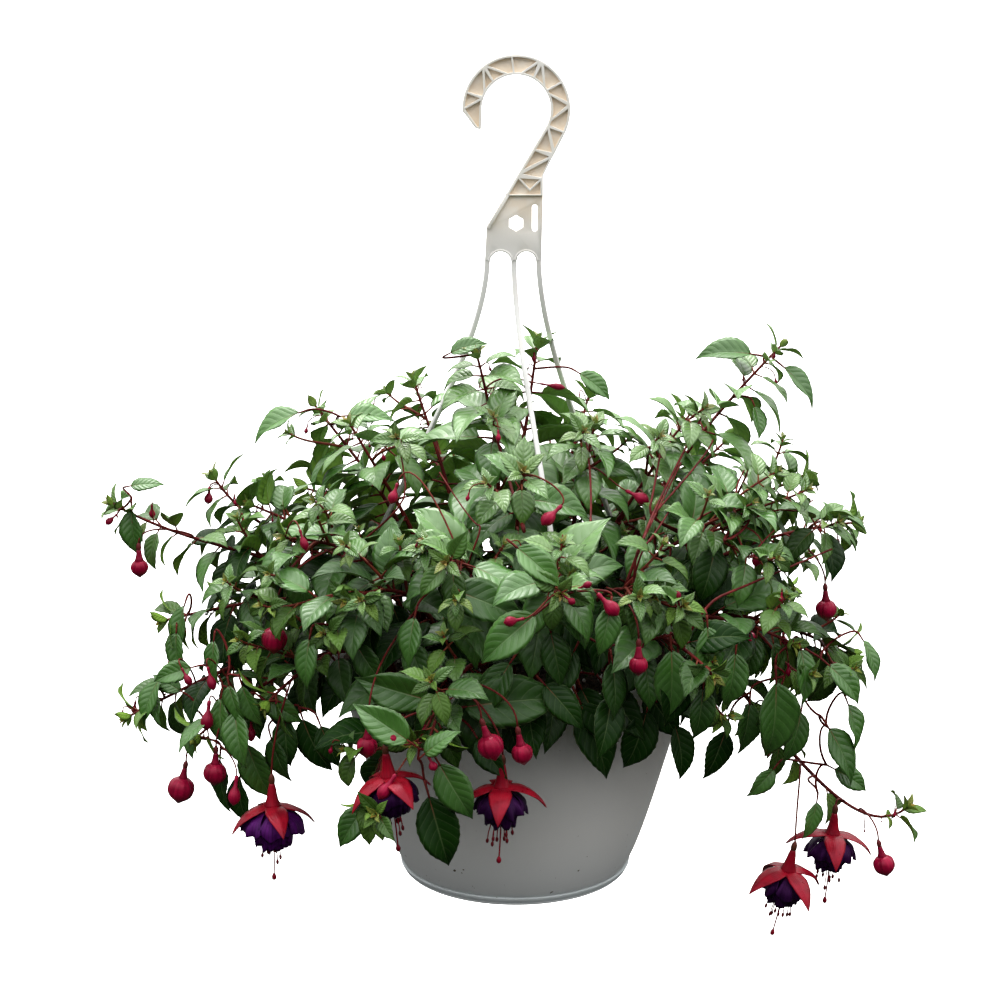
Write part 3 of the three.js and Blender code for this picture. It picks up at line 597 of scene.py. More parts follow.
def petal_material():
    """Velvety violet petals, brighter towards their middles and almost black at their edges."""
    n = Look("petals")
    across, along = n.blade()
    bright, *_ = n.look()
    fold = n.step(n.noise(170, 3, (1, 1, 0.3)), 0.3, 0.7)
    dark = n.mix(fold, (0.006, 0.001, 0.010), (0.014, 0.002, 0.022))
    vivid = n.mix(fold, (0.050, 0.003, 0.085), (0.105, 0.006, 0.150))
    colour = n.mix(bright, dark, vivid)
    foot = n.step(along, 0.0, 0.3, 0.7, 0)
    colour = n.mix(foot, colour, (0.22, 0.008, 0.06))
    veins = n.lines(across, 9.0, 0.0, 0.25, 0.5)
    colour = n.mix(veins, colour, dark)
    relief = n.bump(n.calc("SUBTRACT", fold, veins), 0.25, 0.6)
    return n.finish(colour, 0.50, relief, Specular_IOR_Level=0.25, Specular_Tint=(0.8, 0.25, 1, 1))


def perlite_material():
    """White crumbly grains."""
    n = Look("perlite")
    colour = n.mix(n.step(n.noise(300, 3), 0.3, 0.7), (0.62, 0.60, 0.55), (0.80, 0.79, 0.76))
    return n.finish(colour, 0.9, n.bump(n.noise(800, 3), 0.2, 0.6))


# ---- the hanger --------------------------------------------------------------------------------------------

ARC_Z = -HOOK_INNER_R
TIP_ANGLE = 181
INNER_LEAVES_AT = -30.9
OUTER_LEAVES_AT = -27.4
SHANK_CORNER = (17.7, ARC_Z - 43)
PLATE_SHOULDER = (-19.6, ARC_Z - 77)
PLATE_LEFT = -20.8
PLATE_RIGHT = 16.8
BEAM_END_Z = ARC_Z - 56
EDGE = 0.35  # radius of the moulded edges
SHANK = -100  # a station on the straight shank is this and the drop below the arc's centre, negative
RIBS = (
    (163, 179), (160, 161), (152, 129), (130, 127), (104, 125), (94, 95), (82, 65), (61, 63), (39, 60),
    (32, 31), (26, 7), (-17, 3), (-26, -25), (-29, -127), (-126, -130), (-140, -131), (-144, -145),
)
LAST_CELL_FOOT = (9, ARC_Z - 52.5)
TIP_CELL_END = ((-24, ARC_Z - 11.8), (-25.9, ARC_Z - 11.6))
OUTER_BEND = (31.5, ARC_Z - 16.3)  # between the flanges, where the hook's outer edge turns into the shank's
ARCHES = ((-10.3, 7.1), (6.8, 6.5))  # middle and radius of the arches between the legs, in the plate's foot
ARCH_TOP_Z = ARC_Z - 93.3


def inner_edge(z):
    """The point of the shank's inner edge at a height."""
    start_x, start_z = arc(0, ARC_Z, HOOK_INNER_R, INNER_LEAVES_AT, INNER_LEAVES_AT, 1)[0]
    share = (start_z - z) / (start_z - PLATE_SHOULDER[1])
    return start_x + share * (PLATE_SHOULDER[0] - start_x), z


def band_point(station, across):
    """A point between the hook's flanges, at an angle round the arc or down the shank."""
    inwards = FLANGE / 2
    if station > SHANK:
        r = HOOK_INNER_R + inwards + across * (HOOK_OUTER_R - HOOK_INNER_R - FLANGE)
        return r * math.cos(math.radians(station)), ARC_Z + r * math.sin(math.radians(station))
    z = ARC_Z + station - SHANK
    if across == 0:
        return inner_edge(z)[0] + inwards * 1.2, z
    share = (z - OUTER_BEND[1]) / (SHANK_CORNER[1] - OUTER_BEND[1])
    return OUTER_BEND[0] + min(share, 1) * (SHANK_CORNER[0] - OUTER_BEND[0]) - inwards, z


def turns_left(outline):
    """True for an outline whose inside is on its left."""
    pairs = zip(outline, [*outline[1:], outline[0]])
    return sum(x0 * z1 - x1 * z0 for (x0, z0), (x1, z1) in pairs) > 0


def drawn_in(outline, distance):
    """The outline with each side moved inwards."""
    if not turns_left(outline):
        outline = outline[::-1]
    lines = []
    for (x, z), (nx, nz) in zip(outline, [*outline[1:], outline[0]]):
        length = math.hypot(nx - x, nz - z)
        ux, uz = (nx - x) / length, (nz - z) / length
        lines.append((x - uz * distance, z + ux * distance, ux, uz))
    moved = []
    for before, line in zip([lines[-1], *lines[:-1]], lines):
        cross = before[2] * line[3] - before[3] * line[2]
        along = ((line[0] - before[0]) * line[3] - (line[1] - before[1]) * line[2]) / cross
        moved.append((before[0] + along * before[2], before[1] + along * before[3]))
    return moved


def band_points(a, b, across):
    """Points along a flange from a station to a station, closer together round the arc."""
    if abs(a - b) < 5:
        return [band_point((a + b) / 2, across)]
    count = max(1, round(abs(a - b) / 8)) if min(a, b) > SHANK else 1
    return [band_point(a + (b - a) * k / count, across) for k in range(count + 1)]


def rib_cells():
    """The hollow cells between neighbouring ribs, in the hook's tip and at the beam's end."""
    cells = [
        [*band_points(last_inner, inner, 0), *band_points(outer, last_outer, 1)]
        for (last_inner, last_outer), (inner, outer) in zip(RIBS, RIBS[1:])
    ]
    cells.append([band_point(RIBS[0][0], 0), band_point(177, 0), *TIP_CELL_END, band_point(RIBS[0][1], 1)])
    a, b = band_point(RIBS[-1][0], 0), band_point(RIBS[-1][1], 1)
    end = BEAM_END_Z - ARC_Z + SHANK
    cells.append([a, LAST_CELL_FOOT, b])
    cells.append([a, band_point(end, 0), band_point(end, 1), b, LAST_CELL_FOOT])
    return [drawn_in(cell, RIB / 2) for cell in cells]


def flat_plate(outlines, depth, edge):
    """A mesh of flat outlines in x and z, the first with the others as holes, thick about y = 0."""
    curve = bpy.data.curves.new("outline", "CURVE")
    curve.dimensions = "2D"
    curve.fill_mode = "BOTH"
    curve.extrude = depth / 2 - edge
    curve.bevel_depth = edge
    curve.bevel_resolution = 1
    curve.offset = -edge
    for outline in outlines:
        spline = curve.splines.new("POLY")
        spline.points.add(len(outline) - 1)
        for point, (x, z) in zip(spline.points, outline):
            point.co = (x, z, 0, 1)
        spline.use_cyclic_u = True
    held = bpy.data.objects.new("outline", curve)
    made = bmesh.new()
    made.from_mesh(bpy.data.meshes.new_from_object(held))
    bmesh.ops.remove_doubles(made, verts=made.verts, dist=0.002)
    for v in made.verts:
        v.co = (v.co.x, -v.co.z, v.co.y)
    bmesh.ops.recalc_face_normals(made, faces=made.faces)
    mesh = bpy.data.meshes.new("outline")
    made.to_mesh(mesh)
    made.free()
    bpy.data.objects.remove(held)
    return mesh


def hook_outline():
    """The hook and its shank, down to the plate."""
    return [
        *arc(0, ARC_Z, HOOK_OUTER_R, TIP_ANGLE, OUTER_LEAVES_AT, 90),
        SHANK_CORNER,
        (SHANK_CORNER[0], BEAM_END_Z),
        inner_edge(BEAM_END_Z),
        *arc(0, ARC_Z, HOOK_INNER_R, INNER_LEAVES_AT, 178, 80),
        (-23.2, ARC_Z - 12.6),
        (-26.6, ARC_Z - 12.2),
    ]


def plate_outlines():
    """The plate below the hook, then its two holes: one for a label and a slot."""
    (left, left_r), (right, right_r) = ARCHES
    outline = [
        (PLATE_LEFT, LEG_TOP_Z),
        (PLATE_LEFT + LEG_WIDTH, LEG_TOP_Z),
        *arc(left, ARCH_TOP_Z - left_r, left_r, 180, 0, 28),
        (-3.1, LEG_TOP_Z),
        (0.3, LEG_TOP_Z),
        *arc(right, ARCH_TOP_Z - right_r, right_r, 180, 0, 28),
        (PLATE_RIGHT - LEG_WIDTH, LEG_TOP_Z),
        (PLATE_RIGHT, LEG_TOP_Z),
        (SHANK_CORNER[0], BEAM_END_Z - 8),
        (SHANK_CORNER[0], BEAM_END_Z + 1),
        inner_edge(BEAM_END_Z + 1),
        PLATE_SHOULDER,
    ]
    label_hole = arc(0, ARC_Z - 74.5, 5.4, 30, 330, 5)
    slot = [*arc(12.4, ARC_Z - 64, 1.9, 0, 180, 12), *arc(12.4, ARC_Z - 78, 1.9, 180, 360, 12)]
    return [outline, label_hole, slot]


LEG_ROUNDNESS = 0.45  # 1 makes an oval leg, and less a squarer one
STOP_HEIGHT = 2


def leg_line(i, steps):
    """A leg's middle line, from the plate's foot to the rim."""
    outward = heading(LEG_AZIMUTHS[i])
    top = vec(LEG_TOP_X[i], 0, LEG_TOP_Z)
    foot = outward * LEG_RIM_R + UP * (RIM_Z + 8)
    shoulder = top + outward * 2 - UP * 58
    knee = foot - outward * 57 + UP * 120
    return bezier(top, shoulder, knee, foot, steps)


def add_leg(shape, i):
    """A leg with rounded edges, from the plate down through the rim, and its stops over and under that."""
    azimuth = math.radians(LEG_AZIMUTHS[i])
    tangential = vec(math.sin(azimuth), -math.cos(azimuth), 0)
    if tangential[0] < 0:
        tangential = -tangential
    line = leg_line(i, 44)
    under = RIM_Z - RIM_FLANGE - GAP - STOP_HEIGHT / 2
    foot = line[-1].copy()
    foot[2] = RIM_Z - RIM_FLANGE - GAP - STOP_HEIGHT
    points = np.array([line[0] + UP * 1.5, *line, foot])
    tangents = np.gradient(points, axis=0)
    tangents[:2] = tangents[-1:] = (0, 0, -1)
    turns = 2 * math.pi * (np.arange(16) + 0.5) / 16
    c, s = np.cos(turns), np.sin(turns)
    a = np.sign(c) * np.abs(c) ** LEG_ROUNDNESS * LEG_WIDTH / 2
    b = np.sign(s) * np.abs(s) ** LEG_ROUNDNESS * LEG_DEPTH / 2
    rings = []
    for k, (point, tangent) in enumerate(zip(points, tangents)):
        share = clipped((k - 1) / (len(line) - 1))
        across, upward = framed(unit(tangent), vec(1, 0, 0) * (1 - share) + tangential * share)
        rings.append(point + a[:, None] * across + b[:, None] * upward)
    add_rings(shape, rings)
    for extra, z in ((0, under), (2, RIM_Z + GAP + STOP_HEIGHT / 2)):
        size = (LEG_DEPTH + extra, LEG_WIDTH + 4, STOP_HEIGHT)
        shape.add(*box_points(*size, (LEG_RIM_R, 0, z), LEG_AZIMUTHS[i]))


def make_hanger(material):
    """The one moulding of hook, ribs, plate and legs."""
    shape = Shape()
    outline = hook_outline()
    shape.add_mesh(flat_plate([outline, *rib_cells()], BEAM_DEPTH, EDGE))
    shape.add_mesh(flat_plate([drawn_in(outline, 0.6)], WEB, 0.1))
    shape.add_mesh(flat_plate(plate_outlines(), PLATE_DEPTH, EDGE))
    top, low = inner_edge(BEAM_END_Z + 1), PLATE_SHOULDER
    ridge = [top, low, (low[0] + 1.6, low[1] - 1.2), (top[0] + 1.9, top[1] - 1.2)]
    shape.add_mesh(flat_plate([ridge], BEAM_DEPTH, EDGE))
    for cx, r in ARCHES:
        rim = arc(cx, ARCH_TOP_Z - r, r + 0.8, 5, 175, 20)
        for y in (PLATE_DEPTH / 2 - 0.1, 0.1 - PLATE_DEPTH / 2):
            add_rod(shape, [(x, y, z) for x, z in rim], 0.75, 8)
    for i in range(len(LEG_AZIMUTHS)):
        add_leg(shape, i)
    make_piece("hanger_moulding", shape, material, "hanger", 32)


# ---- the pot, its tray and the soil ------------------------------------------------------------------------

POT_FOOT_Z = BASE_Z + WALL + GAP
FLOOR_TOP_Z = POT_FOOT_Z + 4
POT_SIDES = 200
DRAIN_HOLES = 6
DRAIN_RING_R = 54
DRAIN_HOLE_R = 4
TRAY_NOTCHES = 3
NOTCH_SIZE = (6, 13, 2.4)
NOTCH_TURN = -67
SOIL_CLEARANCE = 1.2
SOIL_RINGS = 34
SOIL_SIDES = 96
PERLITE_GRAINS = 150
# A grain's rings: radius and height as shares of its size.
GRAIN_RINGS = ((0.5, 0.9), (0.95, 0.35), (1, -0.2), (0.6, -0.8))


def wall_radius(z):
    """The outer radius of the pot's wall, which tucks in near its foot."""
    return WALL_TOP_R - WALL_TAPER * (RIM_Z - z) - BASE_TUCK * math.exp(-(z - BASE_Z) / TUCK_HEIGHT)


def make_pot(material):
    """The pot with its rolled rim, the legs' slots in the rim and the drain holes in the floor."""
    seam = BASE_Z + TRAY_HEIGHT + GAP
    heights = [seam, *np.linspace(seam + 4, RIM_Z - RIM_SKIRT, 26)]
    foot_r = TRAY_R - WALL - 2 * GAP
    rim_under = RIM_Z - RIM_FLANGE
    profile = [
        (0, FLOOR_TOP_Z - WALL),
        (foot_r - 6, FLOOR_TOP_Z - WALL),
        (foot_r - 4, POT_FOOT_Z),
        (foot_r, POT_FOOT_Z),
        (foot_r, seam),
        (wall_radius(seam) - 0.5, seam),
        *((wall_radius(z), z + (0.4 if z == seam else 0)) for z in heights),
        (wall_radius(rim_under - 1), rim_under - 1),
        (wall_radius(rim_under) + 0.8, rim_under),
        (RIM_OUTER_R - WALL, rim_under),
        (RIM_OUTER_R - WALL, RIM_Z - RIM_SKIRT),
        (RIM_OUTER_R, RIM_Z - RIM_SKIRT),
        *arc(RIM_OUTER_R - 1.4, RIM_Z - 1.4, 1.4, 0, 90, 5),
        *arc(WALL_TOP_R - WALL + 1, RIM_Z - 1, 1, 90, 180, 4),
        *((wall_radius(z) - WALL, z) for z in heights[::-1]),
        (foot_r - 2 * WALL, FLOOR_TOP_Z),
        (0, FLOOR_TOP_Z),
    ]
    shape = Shape()
    add_lathe(shape, profile, POT_SIDES)
    cutters = Shape()
    slot = (LEG_DEPTH + 0.6, LEG_WIDTH + 1.2, 3 * RIM_FLANGE)
    for azimuth in LEG_AZIMUTHS:
        cutters.add(*box_points(*slot, (LEG_RIM_R, 0, RIM_Z), azimuth))
    for i in range(DRAIN_HOLES):
        x, y, _ = heading(360 * (i + 0.5) / DRAIN_HOLES) * DRAIN_RING_R
        add_rod(cutters, [(x, y, FLOOR_TOP_Z - 7), (x, y, FLOOR_TOP_Z + 5)], DRAIN_HOLE_R, 24)
    make_piece("pot_shell", cut_away(shape, cutters), material, "pot", 35)


def make_tray(material):
    """The drip tray, with notches under its edge."""
    top = BASE_Z + TRAY_HEIGHT
    profile = [
        (0, BASE_Z),
        (TRAY_R - 4.6, BASE_Z),
        (TRAY_R - 3.2, BASE_Z + 0.5),
        (TRAY_R - 2.2, BASE_Z + 1.8),
        (TRAY_R - 0.9, top - 2.6),
        (TRAY_R - 0.2, top - 1.7),
        (TRAY_R, top - 0.4),
        (TRAY_R - 0.4, top),
        (TRAY_R - WALL, top),
        (TRAY_R - WALL, BASE_Z + WALL),
        (0, BASE_Z + WALL),
    ]
    shape = Shape()
    add_lathe(shape, profile, POT_SIDES)
    cutters = Shape()
    for i in range(TRAY_NOTCHES):
        azimuth = 360 // TRAY_NOTCHES * i + NOTCH_TURN
        cutters.add(*box_points(*NOTCH_SIZE, (TRAY_R - 0.6, 0, BASE_Z), azimuth))
    make_piece("tray_dish", cut_away(shape, cutters), material, "drip_tray", 35)


def crumbs(x, y):
    """How far the soil's top stands up at a place."""
    lumps = 1.6 * noise.noise(Vector((x, y, 3)) / 9) + 0.9 * noise.noise(Vector((x, y, 7)) / 3)
    return max(-1.5, lumps)


def make_soil(material, grain_material):
    """Peat with a crumbly top, and white grains of perlite in it."""
    inside = wall_radius(SOIL_Z) - WALL - SOIL_CLEARANCE
    around = [heading(360 * j / SOIL_SIDES) for j in range(SOIL_SIDES)]
    points = []
    for i in range(SOIL_RINGS + 1):
        r = inside * (i + 0.5) / (SOIL_RINGS + 0.5)
        level = min(1, (SOIL_RINGS - i) / 3)
        for side in around:
            x, y, _ = side * r
            points.append((x, y, SOIL_Z - 1.2 * (1 - level) + crumbs(x, y) * level))
    half_way_z = -480
    stops = [
        (inside - 0.2, SOIL_Z - 3),
        (wall_radius(half_way_z) - WALL - SOIL_CLEARANCE, half_way_z),
        (TRAY_R - 6, FLOOR_TOP_Z + GAP),
    ]
    points += [tuple(side * r + UP * z) for r, z in stops for side in around]
    rings = SOIL_RINGS + 1 + len(stops)
    faces = [[b, a, d, c] for a, b, c, d in band_faces(rings, SOIL_SIDES)]
    faces.append(list(range(SOIL_SIDES)))
    faces.append([(rings - 1) * SOIL_SIDES + j for j in range(SOIL_SIDES)][::-1])
    make_piece("soil_body", Shape().add(points, faces), material, "potting_soil")

    grains = Shape()
    random = random_stream(501)
    for _ in range(PERLITE_GRAINS):
        r, turn, size = inside * 0.95 * math.sqrt(random()), 360 * random(), 0.8 + 1.3 * random()
        x, y, _ = heading(turn) * r
        middle = SOIL_Z + 0.6 + random()
        add_rings(grains, [
            [(x + size * k * math.cos(t + turn), y - size * k * math.sin(t + turn), middle + size * h)
             for t in np.arange(6) * math.pi / 3]
            for k, h in GRAIN_RINGS
        ])
    make_piece("soil_grains", grains, grain_material, "potting_soil", 20)


# ---- how the plant grows, as in the CAD part ---------------------------------------------------------------

SHOOT_STEPS = 10
PETIOLE = 0.17  # the stalk's share of a leaf's length
LEAF_CLEARANCE = 7.5
LEAVES_A_SHOOT = 7
SEPAL_Z = -22
CELL = 8  # size of the cells that Room sorts points into
POT_CLEARANCE = 6
OPEN_BELOW_Z = -392  # the part of the pot's front that stays open to view
OPEN_BEFORE_Y = -60
OPEN_X = (-75, 95)

# Tip x, y, z, the radius of the foot, its turn from the tip, the rise before the arch, the tip's pitch, and a
# scale for the leaves where they are small.
SHOOTS = (
    (-26, -34, -180, 22, 0, 130, 70),
    (15, 26, -180, 18, 40, 130, 78),
    (54, 95, -228, 44, 0, 100, 60),
    (52, -38, -226, 42, 0, 95, 76),
    (180, 14, -182, 62, 0, 76, 46, 0.8),
    (124, 58, -236, 62, 4, 80, 52),
    (102, -22, -244, 48, -10, 80, 58),
    (152, 92, -264, 80, 4, 70, 34),
    (206, 52, -280, 88, 0, 66, 18),
    (232, -8, -300, 92, 2, 66, 6, 0.85),
    (-140, 50, -230, 70, -4, 85, 50),
    (-112, -12, -230, 56, 0, 90, 62),
    (-72, 66, -214, 48, 0, 90, 66),
    (-180, -14, -286, 98, 1, 72, 24),
    (-206, 0, -270, 92, -1, 92, 60),
    (-267, -50, -277, 88, 1, 86, 34, 0.66),
    (-232, -76, -350, 90, 0, 72, -10, 0.8),
    (-256, -90, -412, 110, 3, 58, -24, 0.7),
    (-208, -108, -420, 108, 4, 56, -40, 0.7),
    (-160, -130, -390, 106, 2, 60, -40, 0.75),
    (26, -192, -300, 92, 0, 66, -6),
    (-54, -194, -392, 104, 6, 58, -44),
    (-94, -176, -440, 108, 3, 56, -62),
    (-44, -170, -286, 80, 0, 76, 10),
    (264, -66, -484, 112, -2, 98, 46, 0.5),
    (176, -122, -352, 102, 2, 64, -16),
    (120, -176, -356, 102, 0, 62, -26),
    (84, -154, -312, 84, 0, 70, 0),
    (226, -34, -386, 106, 0, 60, -28),
    (-106, -150, -316, 88, 3, 68, -6),
    (4, -112, -242, 60, -4, 90, 38),
    (140, -84, -284, 74, 0, 74, 18),
    (-150, -84, -292, 82, 0, 74, 10),
    (122, 176, -306, 90, 1, 66, 2),
    (36, 198, -300, 88, 0, 66, 4),
    (-64, 186, -296, 86, 0, 66, 6),
    (-156, 140, -310, 92, 0, 64, 0),
    (200, 110, -382, 106, 0, 60, -30),
    (-210, 78, -380, 106, 0, 60, -28),
)

# Name, shoot, how far back from the tip, place, turn of the sepals, and lean to the side and to the front.
FLOWERS = (
    ("flower_left", 20, 22, (-157, -134, -436), 20, (0, 0)),
    ("flower_front_left", 22, 20, (-81, -196, -394), 30, (-6, 4)),
    ("flower_front", 22, 42, (-9, -182, -406), 0, (2, 2)),
    ("flower_right", 25, 46, (215, -72, -480), 0, (4, 2)),
    ("flower_right_low", 25, 88, (184, -104, -494), 28, (10, 8)),
    ("flower_back", 35, 40, (-6, 214, -420), 40, (0, -4)),
)

# Name, shoot, how far back from the tip, place, diameter and lean.
BUDS = (
    ("bud_far_left", 16, 58, (-249, -60, -302), 11.5, (0, 0)),
    ("bud_left_high", 33, 40, (-153, -124, -330), 16.5, (4, 0)),
    ("bud_left_low", 19, 14, (-216, -104, -438), 17.5, (12, 0)),
    ("bud_left_inner", 19, 34, (-194, -120, -422), 15, (4, 0)),
    ("bud_front_left", 30, 70, (-92, -174, -386), 13, (4, 0)),
    ("bud_front", 22, 36, (-22, -198, -377), 16, (-18, 0)),
    ("bud_front_small", 22, 48, (0, -190, -385), 13, (-10, 0)),
    ("bud_front_right", 28, 50, (74, -180, -332), 11.5, (0, 0)),
    ("bud_right", 10, 50, (207, -44, -334), 14, (-4, 0)),
    ("bud_right_low", 25, 34, (242, -86, -500), 14.5, (-15, 0)),
    ("bud_back", 38, 40, (180, 120, -404), 14, (0, 0)),
)
NEARLY_LEVEL = 45  # a stalk that falls less than this rises first
BUD_TUBE = 11.5

# How far back from a shoot's tip its large leaves sit, and their length.
PAIRS = ((16, 34), (36, 50), (62, 62), (92, 68), (124, 70), (158, 70))
# Further turn and droop, and a share of the length, that a leaf tries one after the other to find room.
TRIES = ((0, 0, 1), (0.4, 0, 1), (-0.4, 0, 1), (0, 0.5, 0.95), (0.7, 0.3, 0.85), (-0.7, 0.3, 0.85))


def random_stream(seed):
    """A repeatable stream of numbers from 0 to 1."""
    state = (seed * 2654435761) % 4294967296

    def draw():
        nonlocal state
        state = (state * 1664525 + 1013904223) % 4294967296
        return state / 4294967296

    draw()
    draw()
    return draw


class Shoot:
    """A shoot: its line, the shapes that its pieces are drawn in, and what it carries."""

    def __init__(self, number, row, random):
        x, y, z, foot_r, foot_turn, rise, pitch, *scale = row
        self.number = number
        self.name = f"shoot_{number:02d}"
        self.names = (self.name, f"{self.name} more")  # what its own further leaves may come near
        self.leaf_scale = scale[0] if scale else 1
        self.leaves, self.stems, self.buds = Shape(), Shape(), Shape()
        self.large, self.single, self.sprays, self.thin, self.hung = [], [], [], [], []
        tip = vec(x, y, z)
        self.outward = unit(vec(x, y, 0))
        self.sideways = vec(-self.outward[1], self.outward[0], 0)
        foot = turned_about(self.outward, UP, math.radians(foot_turn)) * foot_r + UP * SOIL_Z
        span = np.linalg.norm(tip - foot)
        bow = (random() - 0.5) * 8
        shoulder = foot + UP * rise
        neck = tip - aimed(self.outward, UP, math.radians(pitch)) * 0.42 * span + self.sideways * bow
        self.points = bezier(foot, shoulder, neck, tip, SHOOT_STEPS)  # where the large leaves sit
        self.fine = bezier(foot, shoulder, neck, tip, 4 * SHOOT_STEPS)


# A place on a shoot, with the direction of the shoot there and its share of the way to the tip.
Spot = namedtuple("Spot", "at tangent share")


def back_from_tip(points, distance):
    """The spot at a distance back from a line's tip, or None past its foot."""
    left = distance
    last = len(points) - 1
    for i in range(last, 0, -1):
        step = np.linalg.norm(points[i] - points[i - 1])
        if left <= step:
            at = points[i] + (points[i - 1] - points[i]) * left / step
            return Spot(at, unit(points[i] - points[i - 1]), (i - left / step) / last)
        left -= step
    return None


def stem_radius(share):
    """A shoot's radius in the CAD part, at a share of the way to its tip."""
    return 2.3 - 1.3 * share


class Leaf:
    """A leaf's stem point, its three directions and its measures. Its face is turned towards a direction."""

    def __init__(self, at, axis, facing, length, width, bend):
        self.at = at
        self.axis = axis
        self.normal = square_to(axis, facing)
        self.across = np.cross(axis, self.normal)
        self.length = length
        self.width = width
        self.bend = bend

    def point(self, along, across, lift=0.0):
        """Along from 0 at the stem to 1 at the tip, across and lifted above the blade in millimetres."""
        turn = self.bend * along
        forward = self.length * np.sin(turn) / self.bend + lift * np.sin(turn)
        raised = lift * np.cos(turn) - self.length * (1 - np.cos(turn)) / self.bend
        outer = np.multiply.outer
        return self.at + outer(forward, self.axis) + outer(raised, self.normal) + outer(across, self.across)

    def feelers(self):
        """Points spread over the leaf, which keep other leaves away."""
        half = 0.7 * self.width / 2
        along = [0.12, 0.24, 0.36, 0.48, 0.6, 0.72, 0.84, 0.97, *np.repeat((0.32, 0.44, 0.56, 0.68), 2)]
        across = [0] * 8 + [half, -half] * 4
        return self.point(np.array(along), np.array(across, float))


def cell_of(point):
    """The cell of a Room that a point is in."""
    return tuple(int(math.floor(c / CELL)) for c in point)


class Room:
    """Remembers where things are, and says whether a point is too near to something of another owner."""

    def __init__(self):
        self.cells = {}

    def add(self, points, owner):
        for x, y, z in points:
            self.cells.setdefault(cell_of((x, y, z)), []).append((float(x), float(y), float(z), owner))

    def add_line(self, points, owner):
        for a, b in zip(points, points[1:]):
            count = math.ceil(np.linalg.norm(b - a) / 4)
            self.add([a + (b - a) * k / count for k in range(count)], owner)

    def crowded(self, point, owners, clearance):
        x, y, z = (float(c) for c in point)
        limit = clearance * clearance
        for key in product(*((k - 1, k, k + 1) for k in cell_of(point))):
            for qx, qy, qz, owner in self.cells.get(key, ()):
                if owner not in owners and (x - qx) ** 2 + (y - qy) ** 2 + (z - qz) ** 2 < limit:
                    return True
        return False


def before_pot(point):
    """True in front of the pot's wall, where only single leaves hang."""
    return point[2] < OPEN_BELOW_Z and point[1] < OPEN_BEFORE_Y and OPEN_X[0] < point[0] < OPEN_X[1]


def in_pot(point):
    """True inside the pot or too near to it."""
    x, y, z = point
    if z > RIM_Z + POT_CLEARANCE:
        return False
    wall = RIM_OUTER_R if z > RIM_Z - 10 else wall_radius(z)
    return math.hypot(x, y) < wall + POT_CLEARANCE


def diced_leaf(spot, axis, facing, size, dice, bends):
    """A leaf at a spot, whose length, width and bend vary with the dice."""
    length = size * (0.88 + 0.24 * dice[3])
    return Leaf(spot.at, axis, facing, length, length * (0.44 + 0.1 * dice[4]), bends[0] + bends[1] * dice[5])


def leaf_at(spot, side, outward, size, dice, attempt):
    """A large leaf, as the CAD part has it."""
    turn, droop, shrink = attempt
    axis = unit(side + spot.tangent * (0.55 + turn) + outward * 0.25 - UP * (0.1 + 0.45 * dice[0] + droop))
    facing = UP + outward * (0.35 + 0.5 * dice[1]) + side * 0.4 * (dice[2] - 0.5)
    return diced_leaf(spot, axis, facing, size * shrink, dice, (0.5, 0.7))


def first_leaves(shoot, random, room):
    """The large leaves of one shoot that find room, as the CAD part has them, and how far back each sits."""
    phase = random() * math.pi
    found = []
    for pair, (distance, size) in enumerate(PAIRS):
        spot = back_from_tip(shoot.points, distance)
        if spot is None:
            continue
        across, upward = framed(spot.tangent, shoot.sideways)
        owners = (shoot.name, f"{shoot.name} pair {pair}")
        for sign in (1, -1):
            dice = [random() for _ in range(6)]
            side = aimed(across, upward, phase + pair * math.pi / 2) * sign
            if spot.share < 0.2 or len(found) >= LEAVES_A_SHOOT:
                continue
            for attempt in TRIES:
                leaf = leaf_at(spot, side, shoot.outward, size * shoot.leaf_scale, dice, attempt)
                feelers = leaf.feelers()
                if not any(in_pot(p) or room.crowded(p, owners, LEAF_CLEARANCE) for p in feelers):
                    room.add(feelers, owners[1])
                    found.append((leaf, distance))
                    break
    return found


# ---- leaves, stems and small buds --------------------------------------------------------------------------

BARE_FOOT = 12  # points of a shoot's fine line, from its foot, that nothing springs from
SPRAY_REACH = 46  # how far back along its shoot a spray springs
# A spray's leaf pairs: how far back from its tip, and length.
SPRAY_PAIRS = ((8, 17), (15, 25), (25, 33), (38, 42), (52, 46))

# Sprays of young leaves that show between the others: where the tip is, and a size.
SPRAY_TIPS = (
    ((-64, -200, -392), 1.2),
    ((-86, -214, -432), 1.08),
    ((74, -176, -306), 0.96),
    ((-58, -148, -282), 1.08),
    ((-120, -160, -334), 0.96),
    ((-78, -62, -230), 0.96),
    ((-130, -90, -266), 0.96),
    ((-160, -138, -322), 0.96),
    ((-156, -130, -304), 0.84),
    ((102, -168, -314), 1.2),
    ((164, -120, -296), 1.08),
    ((152, -88, -268), 0.96),
    ((210, -72, -284), 0.96),
    ((190, -66, -264), 0.96),
    ((170, -66, -252), 0.96),
    ((112, -164, -360), 1.2),
    ((134, -146, -392), 0.96),
    ((188, -122, -372), 1.08),
    ((220, -92, -378), 0.84),
    ((122, -160, -352), 0.72),
    ((124, -44, -214), 1.08),
    ((94, -60, -230), 0.96),
    ((44, -62, -226), 0.96),
    ((-108, -134, -284), 0.84),
    ((-176, -128, -348), 0.96),
    ((-38, -184, -306), 0.72),
    ((-96, -170, -310), 0.84),
    ((32, -170, -294), 0.96),
)

